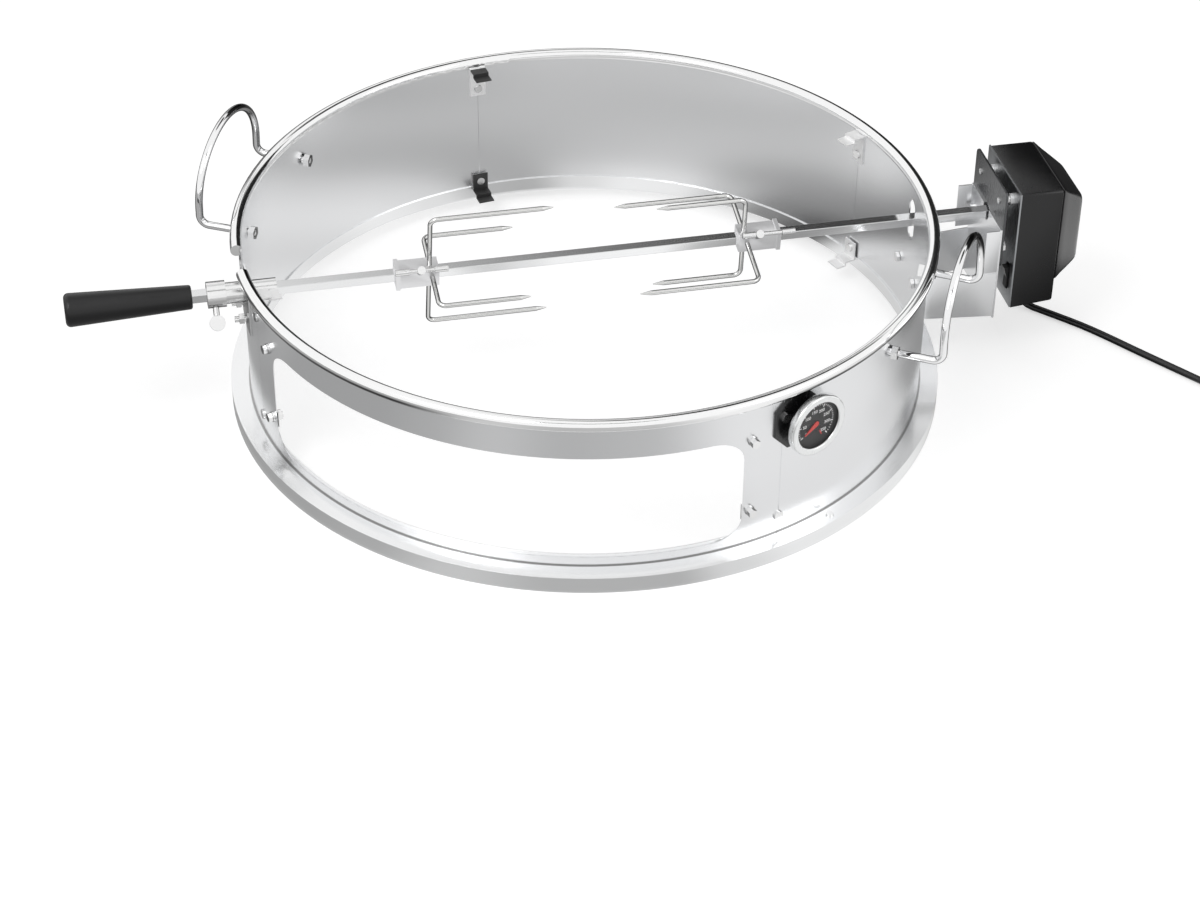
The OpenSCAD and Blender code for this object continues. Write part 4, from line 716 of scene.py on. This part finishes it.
# ---------------------------------------------------------------- thermometer
GAUGE_TURN = Matrix.Rotation(math.radians(-64.8), 3, "Z")
GAUGE_Z = 114.0


def at_gauge(along, y, z):
    """A point of the thermometer's own frame: out from the ring's axis, to the side, and up."""
    return GAUGE_TURN @ Vector((along, y, z)) + Vector((0, 0, GAUGE_Z))


def make_bezel():
    """A turned ring with a rolled outer edge, a flat face and a small step down to the glass."""
    outer = [(288.0, 24.6), (288.0, 25.2), (288.5, 25.8), (289.3, 26.0), (293.0, 26.0), (293.9, 25.8),
             (294.6, 25.2), (294.95, 24.3), (295.0, 23.2), (294.9, 21.6), (294.6, 20.7), (294.1, 20.2),
             (293.45, 20.05), (293.4, 20.6), (293.4, 23.75), (288.9, 23.75), (288.75, 17.4), (288.05, 17.4)]
    verts, faces = lathe_mesh(outer, 96, at_gauge)
    bezel = piece("bezel_ring", verts, faces, bezel_steel, "ring",
                  replaces=("thermometer_bezel",))
    harden(bezel, 40)


def flat_print(name, rings, lift):
    """Thin raised print on the dial, from outlines in its plane."""
    verts, faces = [], []
    for ring in rings:
        base, m = len(verts), len(ring)
        verts += [at_gauge(290.2, y, z) for y, z in ring]
        verts += [at_gauge(290.2 + lift, y, z) for y, z in ring]
        for k in range(m):
            j = (k + 1) % m
            faces.append((base + k, base + j, base + m + j, base + m + k))
        faces.append(tuple(base + k for k in reversed(range(m))))
        faces.append(tuple(base + m + k for k in range(m)))
    return verts, faces


def dial_tick(angle, r0, r1, width):
    """A small bar along a radius; the angle counts from the right and goes up."""
    a = math.radians(angle)
    c, s = math.cos(a), math.sin(a)
    ring = [(r0, -width / 2), (r1, -width / 2), (r1, width / 2), (r0, width / 2)]
    return [(r * c - t * s, r * s + t * c) for r, t in ring]


def make_dial_print():
    start, sweep, top = 212.0, 260.0, 350
    rings = []
    for degree in range(0, top + 1, 10):
        angle = start - sweep * degree / top
        main = degree % 50 == 0
        rings.append(dial_tick(angle, 14.6 if main else 15.9, 17.4, 0.9 if main else 0.5))
    verts, faces = flat_print("ticks", rings, 0.08)
    piece("dial_ticks", verts, faces, print_white, "ring", smooth=False)
    for degree in range(0, top + 1, 50):
        angle = math.radians(start - sweep * degree / top)
        text = bpy.data.curves.new("number", "FONT")
        text.body, text.size, text.align_x, text.align_y = str(degree), 3.9 * MM, "CENTER", "CENTER"
        text.extrude, text.offset = 0.03 * MM, 0.05 * MM
        flat = bpy.data.objects.new("number", text)
        bpy.context.scene.collection.objects.link(flat)
        bpy.context.view_layer.update()
        mesh = bpy.data.meshes.new_from_object(flat.evaluated_get(bpy.context.evaluated_depsgraph_get()))
        bpy.data.objects.remove(flat)
        bpy.data.curves.remove(text)
        y0, z0 = 11.3 * math.cos(angle), 11.3 * math.sin(angle)
        for v in mesh.vertices:
            p = at_gauge(290.23 + v.co.z / MM, y0 + v.co.x / MM, z0 + v.co.y / MM)
            v.co = p * MM
        mesh.materials.clear()
        mesh.materials.append(print_white)
        obj = bpy.data.objects.new("dial_number_%d" % degree, mesh)
        bpy.context.scene.collection.objects.link(obj)
        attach(obj, "ring")
    verts, faces = flat_print("mark", [dial_tick(-63, 8.6, 13.4, 0.9)], 0.1)
    piece("dial_red_mark", verts, faces, needle_red, "ring", smooth=False)


make_bezel()
make_dial_print()


# ---------------------------------------------------------------- floor, world and lamps
def ramp(n, value, stops):
    """A smooth curve through (degrees, level) stops, for a direction in radians."""
    along = n.add("ShaderNodeMapRange", From_Min=-math.pi, From_Max=math.pi)
    n.put(along, "Value", value)
    node = n.add("ShaderNodeValToRGB", Fac=along)
    node.color_ramp.interpolation = "EASE"
    points = node.color_ramp.elements
    while len(points) < len(stops):
        points.new(0.5)
    for point, (degrees, level) in zip(points, stops):
        point.position = (degrees + 180) / 360
        point.color = (level, level, level, 1)
    return node


def mixed(n, share, a, b):
    """a where share is 0 and b where it is 1, as a number."""
    node = n.add("ShaderNodeMix", {"data_type": "FLOAT"})
    n.put(node, "0", share)
    n.put(node, "2", a)
    n.put(node, "3", b)
    return node


def make_floor():
    """White, with the object's shadow; to metal it shows painted reflections instead: greys, a near-black patch
    behind the ring to the right and a bright patch beside the motor.
    """
    mesh = bpy.data.meshes.new("floor")
    size = 6.0
    mesh.from_pydata([(-size, -size, 0), (size, -size, 0), (size, size, 0), (-size, size, 0)], [], [(0, 1, 2, 3)])
    mat = bpy.data.materials.new("floor_white")
    mat.use_nodes = True
    n = Nodes(mat.node_tree)
    out = n.add("ShaderNodeOutputMaterial")
    flat = n.add("ShaderNodeBsdfDiffuse")
    flat.inputs["Color"].default_value = (0.62, 0.62, 0.62, 1)
    glow = n.add("ShaderNodeEmission")
    ray = n.add("ShaderNodeLightPath")
    seen = n.add("ShaderNodeMath", {"operation": "MAXIMUM"})
    n.put(seen, "0", (ray, "Is Camera Ray"))
    n.put(seen, "1", (ray, "Is Transmission Ray"))
    level = n.add("ShaderNodeMath", {"operation": "MULTIPLY"})
    n.put(level, "0", seen)
    level.inputs[1].default_value = FLOOR_GLOW
    n.put(glow, "Strength", level)
    both = n.add("ShaderNodeAddShader")
    n.tree.links.new(flat.outputs[0], both.inputs[0])
    n.tree.links.new(glow.outputs[0], both.inputs[1])

    where = n.add("ShaderNodeTexCoord")
    radius, turn, height = polar(n, (where, "Object"))
    inside = mixed(n, smooth_step(n, radius, 0.05, 0.095), 0.6, ramp(n, turn, FLOOR_INSIDE))
    inside = mixed(n, smooth_step(n, radius, 0.20, 0.235), inside, ramp(n, turn, FLOOR_EDGE))
    outside = mixed(n, smooth_step(n, radius, 0.35, 0.37), ramp(n, turn, FLOOR_OUTSIDE), ramp(n, turn, FLOOR_FAR))
    tone = mixed(n, smooth_step(n, radius, 0.285, 0.30), inside, outside)
    # Painted reflection: a near-black patch on the floor behind the ring to the right, seen only by metal
    behind = times(n, [smooth_step(n, radius, 0.34, 0.40), smooth_step(n, turn, math.radians(-30), math.radians(-5)),
                       smooth_step(n, turn, math.radians(85), math.radians(70))])
    tone = mixed(n, behind, tone, 0.06)
    # Painted reflection: a patch brighter than white beside the motor, seen only by metal
    beside = times(n, [smooth_step(n, radius, 0.50, 0.53), window(n, turn, -20, 14, 8)])
    tone = mixed(n, beside, tone, 1.5)
    # Painted reflections, shown only to glossy rays
    painted_reflection = n.add("ShaderNodeEmission", Strength=tone)
    final = n.add("ShaderNodeMixShader")
    n.tree.links.new(ray.outputs["Is Glossy Ray"], final.inputs[0])
    n.tree.links.new(both.outputs[0], final.inputs[1])
    n.tree.links.new(painted_reflection.outputs[0], final.inputs[2])
    n.put(out, "Surface", final)
    mesh.materials.append(mat)
    obj = bpy.data.objects.new("floor", mesh)
    bpy.context.scene.collection.objects.link(obj)


def make_world():
    """White to the camera; to metal it is a white studio with dark screens behind and to the right."""
    world = bpy.data.worlds.new("studio")
    bpy.context.scene.world = world
    world.use_nodes = True
    n = Nodes(world.node_tree)
    out = n.add("ShaderNodeOutputWorld")
    plain = n.add("ShaderNodeBackground", Strength=0.8)
    shown = n.add("ShaderNodeBackground", Strength=1.0)
    where = n.add("ShaderNodeTexCoord")
    radius, turn, height = polar(n, (where, "Generated"))
    rise = n.add("ShaderNodeMath", {"operation": "ARCSINE"})
    n.put(rise, "0", height)
    dark = 0.0
    for turns, rises in SCREENS:
        card = times(n, [window(n, turn, *turns), window(n, rise, *rises)])
        both = n.add("ShaderNodeMath", {"operation": "MAXIMUM"})
        n.put(both, "0", card)
        n.put(both, "1", dark)
        dark = both
    n.put(shown, "Strength", mixed(n, dark, 1.2, 0.02))
    white = n.add("ShaderNodeBackground", Strength=1.0)
    ray = n.add("ShaderNodeLightPath")
    glossy = n.add("ShaderNodeMixShader")
    n.tree.links.new(ray.outputs["Is Glossy Ray"], glossy.inputs[0])
    n.tree.links.new(plain.outputs[0], glossy.inputs[1])
    n.tree.links.new(shown.outputs[0], glossy.inputs[2])
    camera = n.add("ShaderNodeMath", {"operation": "MAXIMUM"})
    n.put(camera, "0", (ray, "Is Camera Ray"))
    n.put(camera, "1", (ray, "Is Transmission Ray"))
    final = n.add("ShaderNodeMixShader")
    n.tree.links.new(camera.outputs[0], final.inputs[0])
    n.tree.links.new(glossy.outputs[0], final.inputs[1])
    n.tree.links.new(white.outputs[0], final.inputs[2])
    n.put(out, "Surface", final)


def make_lamp(name, at, size, power, aim=(0, 0, 0.1)):
    data = bpy.data.lights.new(name, "AREA")
    data.shape, data.size, data.energy = "DISK", size, power
    obj = bpy.data.objects.new(name, data)
    obj.location = at
    obj.rotation_euler = (Vector(aim) - Vector(at)).to_track_quat("-Z", "Y").to_euler()
    bpy.context.scene.collection.objects.link(obj)


FLOOR_GLOW = 0.56
# Painted reflections: grey that metal sees on the floor, by direction from the ring's axis in degrees from +X
FLOOR_INSIDE = [(-180, 0.90), (-146, 0.90), (-136, 1.0), (-121, 0.70), (-104, 0.85), (-88, 1.0), (-48, 1.0),
                (-37, 0.50), (-30, 0.33), (-24, 0.33), (-18, 0.62), (10, 0.64), (36, 0.62), (50, 0.28),
                (57, 0.36), (66, 0.66), (76, 0.62), (90, 0.45), (97, 0.50), (106, 0.76), (118, 0.84),
                (128, 0.78), (140, 0.52), (155, 0.35), (178, 0.40)]
FLOOR_EDGE = [(-180, 0.90), (-146, 0.90), (-136, 1.0), (-121, 0.70), (-104, 0.85), (-88, 1.0), (-48, 1.0),
              (-37, 0.50), (-30, 0.33), (-24, 0.33), (-18, 0.62), (10, 0.66), (19, 0.66), (28, 0.82), (36, 0.08),
              (46, 0.26), (55, 0.62), (63, 0.88), (71, 0.90), (79, 0.76), (88, 0.45), (95, 0.48), (104, 0.78),
              (115, 0.88), (131, 0.76), (141, 0.85), (150, 0.82), (160, 0.45), (168, 0.90)]
FLOOR_OUTSIDE = [(-180, 0.35), (-150, 0.38), (-138, 0.42), (-122, 0.58), (-106, 0.46), (-88, 0.46), (-78, 0.70),
                 (-66, 0.86), (-40, 0.86), (-27, 0.74), (-16, 0.34), (-2, 0.30), (10, 0.70), (40, 0.80),
                 (90, 0.90), (140, 0.80), (160, 0.42), (178, 0.35)]
FLOOR_FAR = [(-180, 0.38), (-150, 0.40), (-138, 0.46), (-122, 0.60), (-106, 0.50), (-88, 0.55), (-66, 0.90),
             (-40, 0.90), (-8, 0.78), (10, 0.74), (60, 0.60), (84, 0.20), (155, 0.15), (172, 0.42)]
# Dark screens in the studio: direction from +X and rise above the floor, each as start, end and soft edge
SCREENS = [((20, 80, 4), (-40, 36.5, 3.5)), ((20, 92, 24), (42, 70, 3)), ((-150, -60, 10), (61, 69, 2))]
make_floor()
make_world()
make_lamp("key", (-1.6, -1.2, 2.6), 1.6, 22)
make_lamp("fill", (2.2, -1.6, 2.0), 1.8, 9)

view = bpy.context.scene.view_settings
view.view_transform = "Standard"
